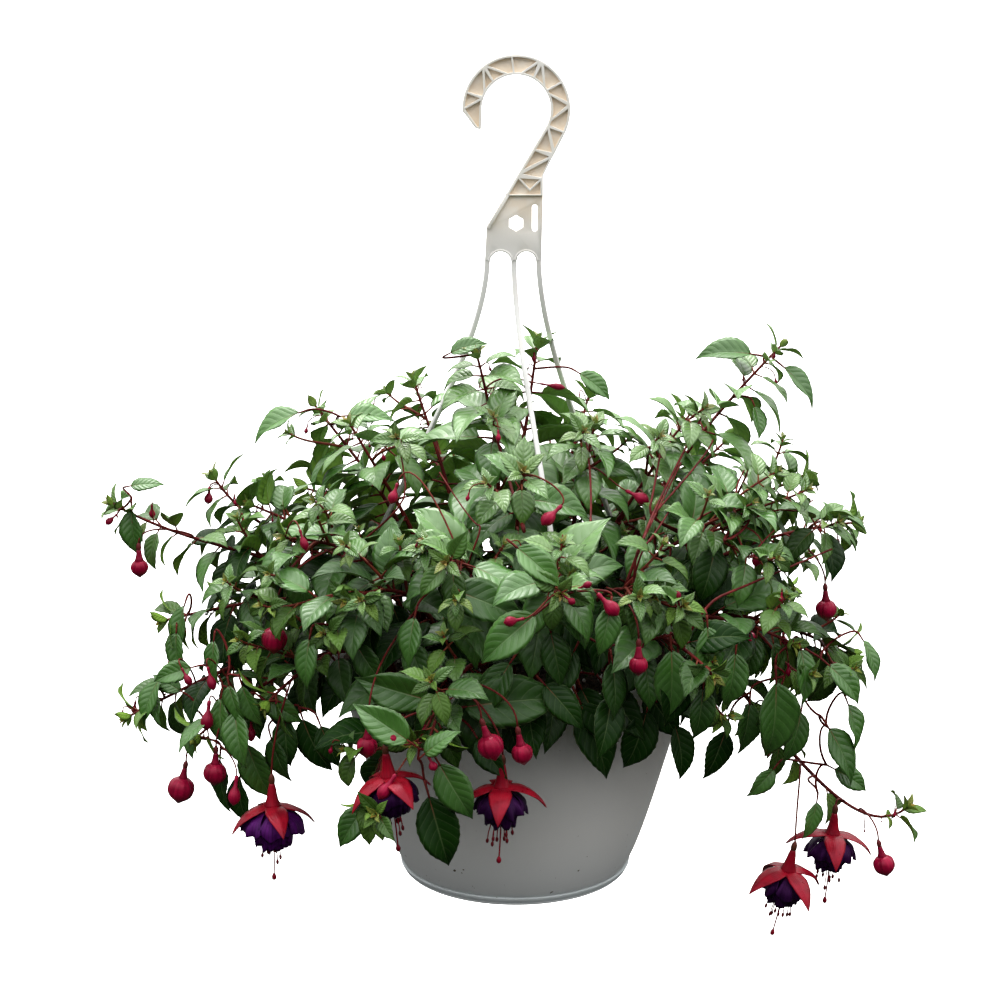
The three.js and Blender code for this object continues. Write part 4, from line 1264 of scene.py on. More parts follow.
# Thin stems that show between the leaves: the upper end, a point between, the lower end, and the thickness.
THIN_STEMS = (
    ((-16, -38, -224), (-4, -78, -258), (4, -116, -278), 2.2),
    ((46, -48, -234), (48, -84, -264), (44, -138, -288), 1.5),
    ((96, -46, -238), (90, -72, -258), (86, -88, -270), 1.5),
    ((108, -56, -248), (94, -82, -268), (76, -130, -288), 1.4),
    ((126, -28, -218), (98, -70, -260), (84, -106, -278), 1.8),
    ((130, -40, -236), (120, -54, -248), (90, -92, -272), 1.4),
    ((100, -86, -270), (92, -104, -278), (82, -122, -286), 1.2),
    ((-50, -68, -252), (-32, -98, -272), (-24, -114, -276), 1.1),
    ((-76, -54, -242), (-74, -62, -250), (-72, -74, -260), 1.2),
    ((154, -76, -276), (146, -92, -284), (134, -106, -288), 1.9),
    ((206, -74, -302), (168, -108, -308), (128, -138, -316), 1.6),
    ((168, -84, -286), (158, -96, -292), (150, -110, -298), 1.2),
    ((150, -52, -254), (146, -58, -260), (144, -64, -264), 1.3),
    ((196, -52, -274), (186, -62, -278), (180, -66, -278), 1.1),
)


# Single leaves at the front: where the stalk ends, the leaf's heading and pitch in degrees, its length,
# and its tone from 0 for dark to 1 for light, which paints the shade and light on each leaf as well as its
# own colour.
FRONT_LEAVES = (
    ((35, -138, -375), -30, -60, 70, 0.05),
    ((85, -130, -385), -130, -70, 54, 0.05),
    ((100, -120, -400), -45, -65, 46, 0.05),
    ((137, -115, -405), -130, -65, 46, 0),
    ((95, -160, -335), -75, -75, 56, 0.5),
    ((117, -150, -365), -100, -72, 44, 0.25),
    ((165, -125, -365), -75, -78, 68, 0.4),
    ((200, -95, -410), -25, -52, 54, 0.4),
    ((-46, -160, -380), -165, 20, 60, 0.4),
    ((-46, -165, -382), -10, 12, 80, 0.25),
    ((-140, -120, -395), -45, -65, 50, 0.05),
    ((-177, -110, -415), -45, -68, 52, 0.45),
    ((-193, -105, -428), -105, -72, 46, 0.15),
    ((-128, -150, -333), -120, -65, 42, 0.5),
    ((-60, -205, -393), -160, 40, 50, 0.7),
    ((-60, -205, -400), -35, 45, 34, 0.6),
    ((-52, -200, -397), -30, -55, 52, 0.4),
    ((-57, -195, -417), -45, -68, 62, 0.1),
    ((-90, -190, -430), -150, -48, 40, 0.4),
    ((-215, -80, -332), -135, -62, 40, 0.5),
    ((-186, -115, -376), -70, -60, 36, 0.5),
    ((57, -185, -303), -110, -65, 40, 0.5),
    ((18, -190, -307), -165, -36, 58, 0.55),
    ((-6, -185, -268), -25, -32, 44, 0.8),
    ((-50, -160, -302), -15, -15, 64, 0.35),
    ((19, -160, -325), -60, -65, 46, 0.2),
    ((39, -150, -341), -140, -55, 46, 0.15),
    ((0, -160, -346), -150, -50, 48, 0.25),
    ((12, -158, -362), -35, -35, 46, 0.1),
    ((58, -155, -346), -70, -60, 46, 0.2),
    ((-46, -170, -376), 20, 25, 44, 0.5),
    ((-105, -140, -340), -40, -50, 42, 0.25),
    ((-70, -150, -336), -50, -55, 42, 0.4),
    ((-62, -155, -318), -120, -60, 42, 0.5),
    ((-230, -90, -380), -150, -50, 40, 0.6),
    ((-215, -95, -395), 170, 30, 30, 0.6),
    ((-190, -110, -385), -110, -65, 42, 0.5),
    ((-178, -118, -375), -50, -65, 38, 0.55),
    ((-210, -100, -405), -120, -60, 32, 0.5),
    ((-148, -120, -395), -100, -70, 42, 0.2),
    ((-128, -125, -400), -40, -60, 38, 0.1),
    ((-180, -105, -440), -110, -70, 42, 0.1),
    ((-195, -100, -350), -110, -65, 38, 0.5),
    ((180, -115, -350), -60, -60, 46, 0.5),
    ((198, -95, -370), -20, -35, 42, 0.6),
    ((172, -118, -375), -130, -55, 42, 0.4),
    ((138, -140, -345), -100, -70, 46, 0.45),
    ((150, -120, -385), -100, -70, 44, 0.3),
    ((205, -85, -420), -15, -40, 38, 0.5),
    ((118, -150, -325), -80, -65, 44, 0.5),
    ((78, -155, -346), -70, -60, 40, 0.3),
    ((172, -100, -440), -150, -45, 32, 0.6),
    ((205, -90, -445), -10, -25, 36, 0.5),
    ((200, -90, -465), -110, -70, 34, 0.6),
    ((-182, -116, -392), -80, -58, 46, 0.55),
    ((-196, -112, -402), -140, -20, 36, 0.6),
    ((-205, -104, -372), -165, -10, 34, 0.65),
    ((-168, -122, -385), -20, -25, 38, 0.5),
    ((-160, -118, -410), -60, -62, 40, 0.2),
    ((-222, -84, -350), -100, -66, 34, 0.5),
    ((-236, -86, -394), -95, -40, 26, 0.6),
    ((216, -84, -398), -40, -60, 42, 0.5),
    ((186, -104, -396), -110, -66, 46, 0.35),
    ((226, -70, -360), -30, -50, 36, 0.6),
    ((-28, -165, -395), -60, -30, 40, 0.1),
    ((60, -150, -370), -100, -50, 50, 0.1),
    ((168, 14, -189), 180, 12, 48, 0.55),
    ((176, 8, -191), -8, -36, 46, 0.6),
    ((160, 0, -217), -60, -50, 28, 0.8),
    ((-141, 20, -227), 185, -14, 48, 0.7),
    ((-121, 20, -232), -5, 8, 40, 0.7),
    ((-254, -52, -274), -95, -72, 40, 0.55),
    ((-259, -50, -266), -10, 15, 28, 0.6),
    ((-48, -30, -182), -15, 30, 32, 0.6),
    ((38, 10, -197), -10, -28, 36, 0.7),
)
RIM_LEAVES = 22  # leaves that hang over the front of the rim, dark for the painted shade under the crown
RIM_LEAVES_FROM = -172  # the part of the rim they hang over, in degrees
RIM_LEAVES_OVER = 164
FRONT_RISE = 0.55  # how far up single leaves face, beside 1 to the front
LOW_Z = -300  # above this height they face up more and more
FRONT_WIDTH = 0.43  # a single leaf's width as a share of its length
FRONT_BEND = 0.55


def front_leaf(at, azimuth, pitch, length, roll):
    """A leaf whose stalk ends at a place, with its face turned up and to the front."""
    axis = heading(azimuth, pitch)
    upright = FRONT_RISE + max(0, (at[2] - LOW_Z) / 100)
    normal = square_to(axis, UP * upright + unit(vec(at[0] * 0.4, -110, 0)))
    facing = turned_about(normal, axis, math.radians(roll))
    return Leaf(np.array(at, float), axis, facing, length, length * FRONT_WIDTH, FRONT_BEND)


def front_leaves():
    """The single leaves at the front and those over the rim, each with its tone."""
    random = random_stream(91)
    found = [(front_leaf(*row, 30 * (random() - 0.5)), tone) for *row, tone in FRONT_LEAVES]
    for k in range(RIM_LEAVES):
        turn = RIM_LEAVES_FROM + RIM_LEAVES_OVER * (k + 0.6 * random()) / RIM_LEAVES
        at = heading(turn) * (RIM_OUTER_R - 4 + 14 * random()) + UP * (RIM_Z + 6 + 10 * random())
        aside = 50 * (random() - 0.5)
        leaf = front_leaf(at, turn + aside, -28 - 34 * random(), 36 + 18 * random(), aside)
        found.append((leaf, 0.2 * random()))
    return found


# Small buds that hang from the shoots: where the bud starts, its tip, its thickness and how dark it is.
HUNG_BUDS = (
    ((28, -120, -262), (16, -128, -272), 8.3, 0.2),
    ((72, -60, -266), (86, -66, -272), 8, 0.3),
    ((48, -190, -300), (60, -194, -312), 9, 0.1),
    ((4, -196, -314), (-8, -198, -316), 6.5, 0.2),
    ((36, -194, -296), (44, -196, -292), 4.4, 0.5),
    ((28, -196, -300), (34, -198, -304), 4.4, 0.4),
    ((100, -160, -316), (98, -164, -306), 4.6, 0.5),
    ((-54, -206, -398), (-50, -208, -406), 5.6, 0.3),
    ((-70, -206, -390), (-78, -210, -384), 6.2, 0.1),
    ((-74, -204, -410), (-84, -208, -424), 8, 0.1),
    ((-76, -100, -252), (-80, -104, -264), 6.6, 0.3),
    ((158, -90, -296), (154, -94, -308), 6.6, 0.3),
    ((-209, 0, -277), (-210, -3, -288), 6.2, 0.3),
    ((-264, -50, -284), (-271, -54, -290), 4.6, 0.4),
    ((-138, -110, -280), (-134, -114, -292), 5.4, 0.3),
    ((-132, -120, -420), (-128, -122, -432), 5, 0.4),
    ((16, -20, -202), (32, -24, -204), 4.6, 0.6),
    ((-216, -110, -372), (-210, -114, -382), 5.2, 0.7),
    ((-198, -116, -392), (-200, -120, -410), 8.4, 0.3),
    ((-198, -120, -368), (-194, -124, -382), 6, 0.4),
    ((-172, -110, -406), (-172, -114, -420), 6, 0.3),
    ((-180, -130, -438), (-182, -134, -456), 8, 0.1),
    ((168, -90, -420), (166, -92, -438), 3.4, 0.4),
)
# Shares of a small bud's length from its stalk to its tip, and its radius there as a share of its thickness.
BUD_STOPS = np.array((0, 0.1, 0.2, 0.36, 0.5, 0.64, 0.78, 0.9, 0.96, 1.0))
BUD_RADII = np.array((0.14, 0.18, 0.14, 0.17, 0.38, 0.5, 0.49, 0.33, 0.14, 0.03))
# The same for a bud that has only begun, with its radii as shares of its length.
YOUNG_BUD_STOPS = np.array((0, 0.12, 0.22, 0.36, 0.52, 0.68, 0.82, 0.93, 1.0))
YOUNG_BUD_RADII = np.array((0.06, 0.10, 0.085, 0.10, 0.19, 0.235, 0.19, 0.09, 0.02))


def add_hung_bud(shoot, joint, row):
    """A small bud on a thin arched stalk from a shoot."""
    start, tip, thick, dark = row
    start, tip = vec(*start), vec(*tip)
    ahead = unit(tip - start)
    gap = np.linalg.norm(start - joint)
    arched = joint + (start - joint) * 0.3 + UP * 0.3 * gap
    line = bezier(joint, arched, start - ahead * gap * 0.35, start, 12)
    add_rod(shoot.stems, line, np.linspace(0.7, 0.5, 13), 7, look=(0, 0.3, 0))
    length = np.linalg.norm(tip - start) * 1.05
    add_rod(shoot.buds, start + np.outer(BUD_STOPS * length, ahead), BUD_RADII * thick, 14, look=(dark, 0, 0))


def nearest_shoot(shoots, point, side=1):
    """The shoot that runs nearest to a point, and where. Side is above 0 to keep below the point."""
    found = []
    for shoot in shoots:
        line = shoot.fine[BARE_FOOT:]
        away = np.linalg.norm(line - point, axis=1) + 0.6 * np.maximum(0, side * (line[:, 2] - point[2]))
        k = int(np.argmin(away))
        found.append((away[k], shoot, line[k]))
    return min(found, key=lambda row: row[0])[1:]


def thin_stem_line(shoots, row):
    """The shoot that carries a thin stem, and the stem's line from its upper end to the shoot."""
    top, middle, low = (vec(*point) for point in row[:3])
    bow = middle * 2 - (top + low) / 2
    shown = bezier(top, top + (bow - top) * 2 / 3, low + (bow - low) * 2 / 3, low, 8)
    shoot, joint = nearest_shoot(shoots, low)
    gap = np.linalg.norm(joint - low)
    hidden = bezier(low, low + unit(low - shown[-2]) * gap / 3, joint + (low - joint) / 3, joint, 6)
    return shoot, np.array([*shown, *hidden[1:]])


def spray_line(shoots, at):
    """The shoot that carries a spray, and the spray's line from the shoot to its tip."""
    shoot, near = nearest_shoot(shoots, at)
    line = shoot.fine
    k = int(np.argmin(np.linalg.norm(line - near, axis=1)))
    back = SPRAY_REACH - np.linalg.norm(at - near) / 2
    while k > BARE_FOOT and np.linalg.norm(line[k] - near) < back:
        k -= 1
    joint = line[k]
    gap = np.linalg.norm(at - joint)
    ahead = unit(UP * 0.6 + unit(vec(at[0], at[1] - 60, 0)))
    return shoot, bezier(joint, joint + (at - joint) * 0.3 + UP * gap * 0.1, at - ahead * gap / 3, at, 14)


def joints_for(shoots, points, feet):
    """Each point's shoot, and where its stalk starts: the shoot, a thin stem or a nearer point's stalk."""
    found = [nearest_shoot(shoots, point) for point in points]
    gaps = [np.linalg.norm(joint - point) for point, (_, joint) in zip(points, found)]
    for k in sorted(range(len(points)), key=gaps.__getitem__):
        for foot, shoot in feet:
            gap = np.linalg.norm(foot - points[k])
            if gap < gaps[k]:
                gaps[k], found[k] = gap, (shoot, foot)
        feet.append((points[k], found[k][0]))
    return found


NEAR = 4.6  # clearance that the further leaves keep
BROAD = 0.97  # how wide a blade is beside its flat stand-in in the CAD part
SHORT = 22  # leaves shorter than this have coarser blades and hardly a stalk
FURTHER_TRIES = (*TRIES, (1.1, 0.2, 0.75), (0.2, 0.9, 0.7))
# A shoot's further leaf pairs between its large leaves: how far back from the tip, and length.
FURTHER_PAIRS = ((14, 24), (26, 38), (48, 50), (78, 58), (108, 62), (142, 62), (176, 58))
# A young tip's leaf pairs: how far back from the tip, length, and spread from the shoot's line in degrees.
TIP_PAIRS = ((0.4, 5, 14), (1.2, 8, 26), (3, 13, 40), (6.5, 19, 54))
# A side shoot's leaf pairs: how far back from its tip, and length.
SIDE_PAIRS = ((11, 27), (24, 38), (42, 46), (62, 52))
SIDE_SHOOTS_AT = (36, 68, 104)
THIN_ABOVE = -285  # the crown is more open above this height
END_SHOOTS = (5, 16, 18)  # stand out alone, with few side shoots
BARE_SHOOTS = (25,)  # have a long bare end that carries flowers
BARE_END = 80


def painted_light_tone(point, chance):
    """How light a leaf is: darker low on the plant, painted shade under the crown, and lighter high up,
    painted light, with a random share from leaf to leaf.
    """
    height = max(0, (point[2] + 430) / 190)
    return clipped(height**2 - 0.29 + 0.66 * chance)


def blade_width(along):
    """A blade's half width as a share of its widest, from its stalk to its drawn-out point."""
    a, b = 0.74, 1.22
    peak = (a / (a + b)) ** a * (b / (a + b)) ** b
    drawn_out = 1 - 0.25 * np.clip((along - 0.68) / 0.32, 0, 1)
    return along**a * (1 - along) ** b / peak * drawn_out


def leaf_grid_size(length):
    """The rows and columns of points that a blade of this length is drawn with."""
    if length > 42:
        return 21, 9
    return (13, 7) if length > SHORT else (8, 5)


def add_leaf(shoot, leaf, random, youth=None, tone=None, broad=BROAD):
    """Adds a leaf's blade and its stalk to a shoot. Size and place set a youth or tone that isn't given."""
    rows, columns = leaf_grid_size(leaf.length)
    along = np.linspace(0, 1, rows)[:, None]
    aside = np.linspace(-1, 1, columns)[None, :]
    half = leaf.width / 2 * broad
    across = half * np.maximum(blade_width(along), 0.05 * (1 - along) + 0.012) * aside
    if leaf.length > SHORT:
        teeth = 0.42 * (np.arange(rows) % 2 - 0.5)[:, None] * (np.abs(aside) == 1) * np.sign(aside)
        across = across + teeth * (blade_width(along) > 0.3)
    fold, curl = 0.3 + 0.36 * random(), 0.12 + 0.2 * random()
    wave, phase, twist = 0.5 + 1.3 * random(), 6.3 * random(), 0.9 * (random() - 0.5)
    ruffle = wave * (leaf.length / 60) * aside**2 * np.sin(9 * along + phase + 1.5 * aside)
    lift = fold * np.abs(across) - curl * across**2 / half + ruffle * blade_width(along)
    turn = twist * along
    across, lift = across * np.cos(turn) - lift * np.sin(turn), across * np.sin(turn) + lift * np.cos(turn)
    stalk_share = PETIOLE if leaf.length > SHORT else 0.06
    share = stalk_share + (1 - stalk_share) * along
    lift = lift - 0.16 * leaf.length * np.maximum(0, along - 0.45) ** 2 * (1 + random())
    shade = painted_light_tone(leaf.point(0.6, 0.0), random())
    if youth is None:
        youth = clipped((44 - leaf.length) / 42)
    if tone is None:
        tone = shade
    add_sheet(shoot.leaves, leaf.point(share, across, lift), 0.25 + 0.004 * leaf.length, (tone, youth, 0))
    if leaf.length > 12:
        reach = np.linspace(0, stalk_share + 0.02, 5)
        radius = 0.45 + 0.006 * leaf.length
        radii = np.linspace(radius * 1.15, radius * 0.75, 5)
        add_rod(shoot.stems, leaf.point(reach, 0 * reach), radii, 6, look=(0, 0.25 + 0.7 * youth, 0))


def add_young_tip(shoot, line, random, size=1.0):
    """The tight leaves at a line's end, pair over pair, each a quarter turn on."""
    at, ahead = line[-1], unit(line[-1] - line[-3])
    across, upward = framed(ahead, vec(0.31, 0.52, 0.8))
    phase = random() * math.pi
    for pair, (back, length, spread) in enumerate(TIP_PAIRS):
        for sign in (1, -1):
            turn = phase + pair * math.pi / 2 + 0.25 * (random() - 0.5)
            side = aimed(across, upward, turn) * sign
            angle = math.radians(spread + 14 * (random() - 0.5))
            long = length * size * (0.85 + 0.3 * random())
            bend = 0.25 + 0.9 * random() * pair / 3
            leaf = Leaf(at - ahead * back * size, aimed(ahead, side, angle), ahead, long, long * 0.46, bend)
            add_leaf(shoot, leaf, random, 1.0 - 0.24 * pair)


def add_small_bud(shoot, at, away, length, random):
    """A young flower bud on its own thin stalk."""
    reach = length * (1.2 + 1.3 * random())
    end = at + away * reach - UP * reach * 0.35
    line = bezier(at, at + away * reach * 0.5 + UP * reach * 0.25, end + UP * reach * 0.3, end, 6)
    add_rod(shoot.stems, line, 0.42, 5, look=(0, 0.3, 0))
    ahead = unit(line[-1] - line[-2])
    dark = 0.75 if length < 5 else 0.35 * random()
    spine = end + np.outer(YOUNG_BUD_STOPS * length, ahead)
    add_rod(shoot.buds, spine, YOUNG_BUD_RADII * length, 10, look=(dark, 0, 0))


def level_leaf(spot, side, outward, size, dice, attempt):
    """A further leaf: nearly level high on the plant, hanging low down."""
    turn, droop, shrink = attempt
    hanging = clipped((-270 - spot.at[2]) / 110)
    fall = 0.42 * dice[0] - 0.12 + 0.3 * hanging + droop
    axis = unit(side + spot.tangent * (0.5 + turn) + outward * (0.15 + 0.15 * hanging) - UP * fall)
    facing = UP + outward * (0.1 + 0.35 * dice[1] + 0.3 * hanging) + side * 0.5 * (dice[2] - 0.5)
    return diced_leaf(spot, axis, facing, size * shrink, dice, (0.55, 0.75))


def blocked(shoot, points, room):
    """True where something further of a shoot's finds no room."""
    return any(in_pot(p) or before_pot(p) or room.crowded(p, shoot.names, NEAR) for p in points)


def grow_leaf(shoot, spot, side, outward, size, random, room):
    """A further leaf at a spot, if it finds room."""
    dice = [random() for _ in range(6)]
    for attempt in FURTHER_TRIES:
        leaf = level_leaf(spot, side, outward, size, dice, attempt)
        feelers = leaf.feelers()
        if not blocked(shoot, feelers, room):
            room.add(feelers, shoot.names[1])
            return leaf
    return None


def grow_pairs(shoot, line, pairs, outward, random, room):
    """Leaf pairs along a line, each a quarter turn on from the last."""
    phase = random() * math.pi
    grown = []
    for pair, (distance, size) in enumerate(pairs):
        spot = back_from_tip(line, distance)
        if spot is None or spot.share < 0.12 or (spot.at[2] > THIN_ABOVE and random() < 0.3):
            continue
        across, upward = framed(spot.tangent, shoot.sideways)
        side = aimed(across, upward, phase + pair * math.pi / 2)
        pair_grown = [grow_leaf(shoot, spot, side * sign, outward, size, random, room) for sign in (1, -1)]
        grown += [leaf for leaf in pair_grown if leaf]
    return grown


def add_long_stalk(shoot, leaf, joint):
    """The stalk of a single leaf, from where it springs."""
    gap = np.linalg.norm(leaf.at - joint)
    if gap > 2:
        within = unit(vec(-leaf.at[0], -leaf.at[1], 0)) * 0.3 * gap
        middle = joint + (leaf.at - joint) * 0.4 + within
        line = bezier(joint, middle, leaf.at - leaf.axis * min(6, gap / 3), leaf.at, 8)
        add_rod(shoot.stems, line, np.linspace(0.9, 0.7, 9), 7, look=(0, 0.12, 0))


def grow_side_shoots(shoot, random, room):
    """Short side shoots with leaves, a young tip and at times a bud, where they find room."""
    for distance in SIDE_SHOOTS_AT:
        spot = back_from_tip(shoot.fine, distance + 12 * (random() - 0.5))
        turn = 6.3 * random()
        reach = 20 + 30 * random()
        plain = shoot.number in BARE_SHOOTS or (shoot.number in END_SHOOTS and distance < BARE_END)
        if spot is None or spot.share < 0.3 or plain:
            continue
        across, upward = framed(spot.tangent, shoot.sideways)
        side = aimed(across, upward, turn)
        if side @ (shoot.outward + UP) < 0:
            side = -side
        leave = unit(side * 0.9 + spot.tangent * 0.75 + UP * 0.25 + shoot.outward * 0.2)
        end = spot.at + leave * reach
        before_end = end - unit(leave + UP * 0.35) * reach * 0.35
        line = bezier(spot.at, spot.at + leave * reach * 0.4, before_end, end, 10)
        if blocked(shoot, line[3:], room):
            continue
        room.add_line(line, shoot.names[1])
        add_rod(shoot.stems, line, np.linspace(1.15, 0.7, len(line)), 7, look=(0, 0.35, 0))
        pairs = [(back, size) for back, size in SIDE_PAIRS if back < reach - 8]
        for leaf in grow_pairs(shoot, line, pairs, shoot.outward, random, room):
            add_leaf(shoot, leaf, random)
        add_young_tip(shoot, line, random, 0.9)
        if random() < 0.5:
            add_small_bud(shoot, line[-2], unit(side + UP * 0.3), 3 + 5 * random(), random)


def grow_end_buds(shoot, random):
    """Small buds near the shoot's tip, most of them very small."""
    for k in range(3):
        spot = back_from_tip(shoot.fine, 6 + 12 * k + 4 * random())
        across, upward = framed(spot.tangent, shoot.sideways)
        away = unit(aimed(across, upward, 6.3 * random()) + spot.tangent * 0.5)
        add_small_bud(shoot, spot.at, away, 2.5 + 7.5 * random() ** 2, random)


def grow_shoot(shoot, random, room, looks):
    """A shoot's own pieces: its stem and stalks, its leaves, and its small buds."""
    count = len(shoot.fine)
    shares = np.arange(count) / (count - 1)
    add_rod(shoot.stems, shoot.fine, 2.2 - 1.35 * shares, 10)
    for leaf, _ in shoot.large:
        add_leaf(shoot, leaf, random)
    for leaf, tone, joint in shoot.single:
        add_leaf(shoot, leaf, random, 0.0, tone, 1.0)
        add_long_stalk(shoot, leaf, joint)
    for line, size, grown in shoot.sprays:
        add_rod(shoot.stems, line, np.linspace(1.1, 0.7, len(line)), 7, look=(0, 0.3, 0))
        add_young_tip(shoot, line, random, size)
        for leaf in grown:
            add_leaf(shoot, leaf, random)
    for line, thick in shoot.thin:
        add_rod(shoot.stems, line, np.linspace(0.42, 0.6, len(line)) * thick, 8)
    for row, joint in shoot.hung:
        add_hung_bud(shoot, joint, row)
    taken = {distance for _, distance in shoot.large}
    free = [(distance, size * 0.9) for distance, size in PAIRS if distance not in taken]
    from_tip = BARE_END if shoot.number in BARE_SHOOTS else 0
    more = [(back, size * shoot.leaf_scale) for back, size in (*free, *FURTHER_PAIRS) if back > from_tip]
    for leaf in grow_pairs(shoot, shoot.fine, more, shoot.outward, random, room):
        add_leaf(shoot, leaf, random)
    add_young_tip(shoot, shoot.fine, random, 1.45)
    grow_side_shoots(shoot, random, room)
    grow_end_buds(shoot, random)
    make_piece(f"{shoot.name}_stems", shoot.stems, looks["stems"], shoot.name)
    make_piece(f"{shoot.name}_leaves", shoot.leaves, looks["leaves"], shoot.name)
    make_piece(f"{shoot.name}_small_buds", shoot.buds, looks["buds"], shoot.name)


# ---- flowers and fat buds ----------------------------------------------------------------------------------


def stalk_line(shoot, back, place, steps):
    """The thread-like stalk from a shoot down to a flower or a bud."""
    spot = back_from_tip(shoot.points, back)
    rise = 0.6 if spot.at[2] - place[2] < NEARLY_LEVEL else -0.35
    wish = place - spot.at
    wish = unit(vec(wish[0], wish[1], 0)) + UP * rise
    leaving = square_to(spot.tangent, wish)
    start = spot.at + leaving * (stem_radius(spot.share) + 2 * GAP)
    drop = max(8, 0.45 * np.linalg.norm(place - start))
    line = bezier(start, start + leaving * 0.35 * drop, place + UP * drop, place, steps)
    return np.array([spot.at + leaving * 0.5, *line])


def make_hung(name, part, shape, place, lean, material):
    """Leans a shape that was made hanging from the origin, moves it to its place and makes it a piece."""
    lean_x, lean_y = math.radians(lean[0]), math.radians(lean[1])
    c, s = math.cos(lean_y), math.sin(lean_y)
    points = np.concatenate(shape.points) @ np.array(((1, 0, 0), (0, c, -s), (0, s, c))).T
    c, s = math.cos(lean_x), math.sin(lean_x)
    points = points @ np.array(((c, 0, s), (0, 1, 0), (-s, 0, c))).T
    shape.points = [points + place]
    make_piece(f"{name}_{part}", shape, material, name)


def make_stalk(row, shoots, looks, steps, radii):
    """A flower's or a bud's stalk."""
    name, shoot_number, back, place = row[:4]
    line = stalk_line(shoots[shoot_number - 1], back, vec(*place), steps)
    stalk = Shape()
    add_rod(stalk, line, np.linspace(*radii, len(line)), 8, look=(0, 0.15, 0))
    make_piece(f"{name}_stalk", stalk, looks["stems"], name)


def spun(points, degrees):
    """Points turned round the vertical."""
    c, s = math.cos(math.radians(degrees)), math.sin(math.radians(degrees))
    return points @ np.array(((c, -s, 0), (s, c, 0), (0, 0, 1))).T


SEPAL_LENGTH = 33
SEPAL_WIDTH = 15
# Shares of a sepal's length, and its width there as a share of its widest.
SEPAL_STOPS = (0, 0.12, 0.32, 0.55, 0.8, 0.93, 1)
SEPAL_WIDTHS = (0.62, 0.82, 1, 0.84, 0.42, 0.16, 0.02)
TUBE_MOUTH_R = 3.2
OPEN_FLOWER = "flower_left"  # fully open, with brighter petals
# Rings of petals: how many, turn, length and spread as shares of the flower's, how far the edge is drawn in,
# half width in radians, and a share of the brightness.
PETAL_RINGS = (
    (4, 20, 1, 0.70, 0.30, 0.95, 1),
    (4, 62, 0.95, 0.78, 0.28, 0.85, 1),
    (6, 0, 0.60, 1.12, 0.0, 0.62, 0.6),
)
STAMENS = 8
# Outlines of turned parts, as radius and height from the end of the stalk.
FLOWER_OVARY = ((0.75, 0.8), (1.3, -0.2), (1.9, -1.6), (2.15, -3.2), (2.0, -4.8), (1.75, -6))
FLOWER_TUBE = (
    (1.7, -5.2), (2.1, -6.8), (2.7, -9.5), (3.2, -13), (3.9, -16.5), (4.9, -19.4), (5.6, -21.4), (3, -23),
)
STIGMA = ((0.5, -67), (1.1, -68), (1.6, -69.4), (1.5, -70.8), (0.7, -71.7))
BUD_OVARY = ((0.75, 0.8), (1.25, -0.1), (1.7, -1.3), (1.8, -2.4), (1.6, -3.6), (1.45, -4.4))
BUD_NECK = ((1.4, -3.8), (1.7, -5.2), (2.0, -7.4), (2.5, -9.6), (3.2, -BUD_TUBE), (2.8, -BUD_TUBE - 1.4))


def add_sepal(shape, turn, rise, bend, random):
    """A sepal: out from the flower's tube, over and down to a point."""
    tilt = math.radians(rise)
    axis, normal = vec(math.cos(tilt), 0, math.sin(tilt)), vec(-math.sin(tilt), 0, math.cos(tilt))
    blade = Leaf(vec(1.5, 0, SEPAL_Z + 1), axis, normal, SEPAL_LENGTH, SEPAL_WIDTH, bend)
    along = np.linspace(0, 1, 19)[:, None]
    aside = np.linspace(-1, 1, 11)[None, :]
    across = SEPAL_WIDTH / 2 * np.interp(along, SEPAL_STOPS, SEPAL_WIDTHS) * aside
    keel = 0.30 * np.abs(across) * (0.4 + along)
    lift = 0.5 - keel * 0.8 + 0.35 * random() * aside**2 * np.sin(7 * along + 6 * random())
    grid = blade.point(along + 0 * across, across, lift)
    add_sheet(shape, spun(grid, turn), 1.0)


def add_petal(shape, turn, length, spread, cup, fan, bright, random):
    """A ruffled petal, from the tube's mouth out and down, wider towards its rounded edge."""
    along = np.linspace(0, 1, 15)[:, None]
    aside = np.linspace(-1, 1, 15)[None, :]
    phase, twist = 6.3 * random(), 0.35 * (random() - 0.5)
    reach = along * (1 - 0.22 * aside**2)
    opening = np.sin(np.minimum(reach * 1.9, math.pi / 2)) ** 0.9
    radius = TUBE_MOUTH_R + (spread - TUBE_MOUTH_R) * opening * (1 - cup * reach**3)
    ruffle = (0.5 + 1.6 * random()) * reach**2.2 * np.sin(7.5 * aside + phase)
    radius = radius + ruffle + 0.8 * reach**3 * np.sin(13 * aside + 2 * phase)
    z = SEPAL_Z - length * (reach**1.25) + 1.4 * reach**2 * np.sin(5.5 * aside + phase * 1.7)
    widening = 0.45 + 0.55 * np.sin(np.minimum(reach * 1.7, 1.57))
    angle = math.radians(turn) + aside * fan * widening + twist * reach
    grid = np.stack([radius * np.cos(angle), -radius * np.sin(angle), z], axis=2)
    add_sheet(shape, grid, 0.3, (bright * (0.7 + 0.3 * random()), 0, 0))


def draw_calyx(turn, random):
    """The ovary, the tube and the four sepals."""
    calyx = Shape()
    add_turned(calyx, FLOWER_OVARY, 16, look=(0.4, 0.85, 0))
    add_turned(calyx, FLOWER_TUBE, 24, look=(0.12, 0, 0))
    for quarter in range(4):
        rise = 10 + 14 * (random() - 0.5)
        add_sepal(calyx, 90 * quarter + turn + 8 * (random() - 0.5), rise, 1.15 + 0.5 * random(), random)
    return calyx


def draw_corolla(turn, is_open, random):
    """The skirt of petals."""
    corolla = Shape()
    bright = 1.0 if is_open else 0.12
    wide, deep = (17.5, 27) if is_open else (14.5, 24)
    for count, start, down, out, cup, fan, light in PETAL_RINGS:
        for k in range(count):
            aside = 360 // count * k + turn + start
            add_petal(corolla, aside, deep * down, wide * out, cup, fan, bright * light, random)
    return corolla


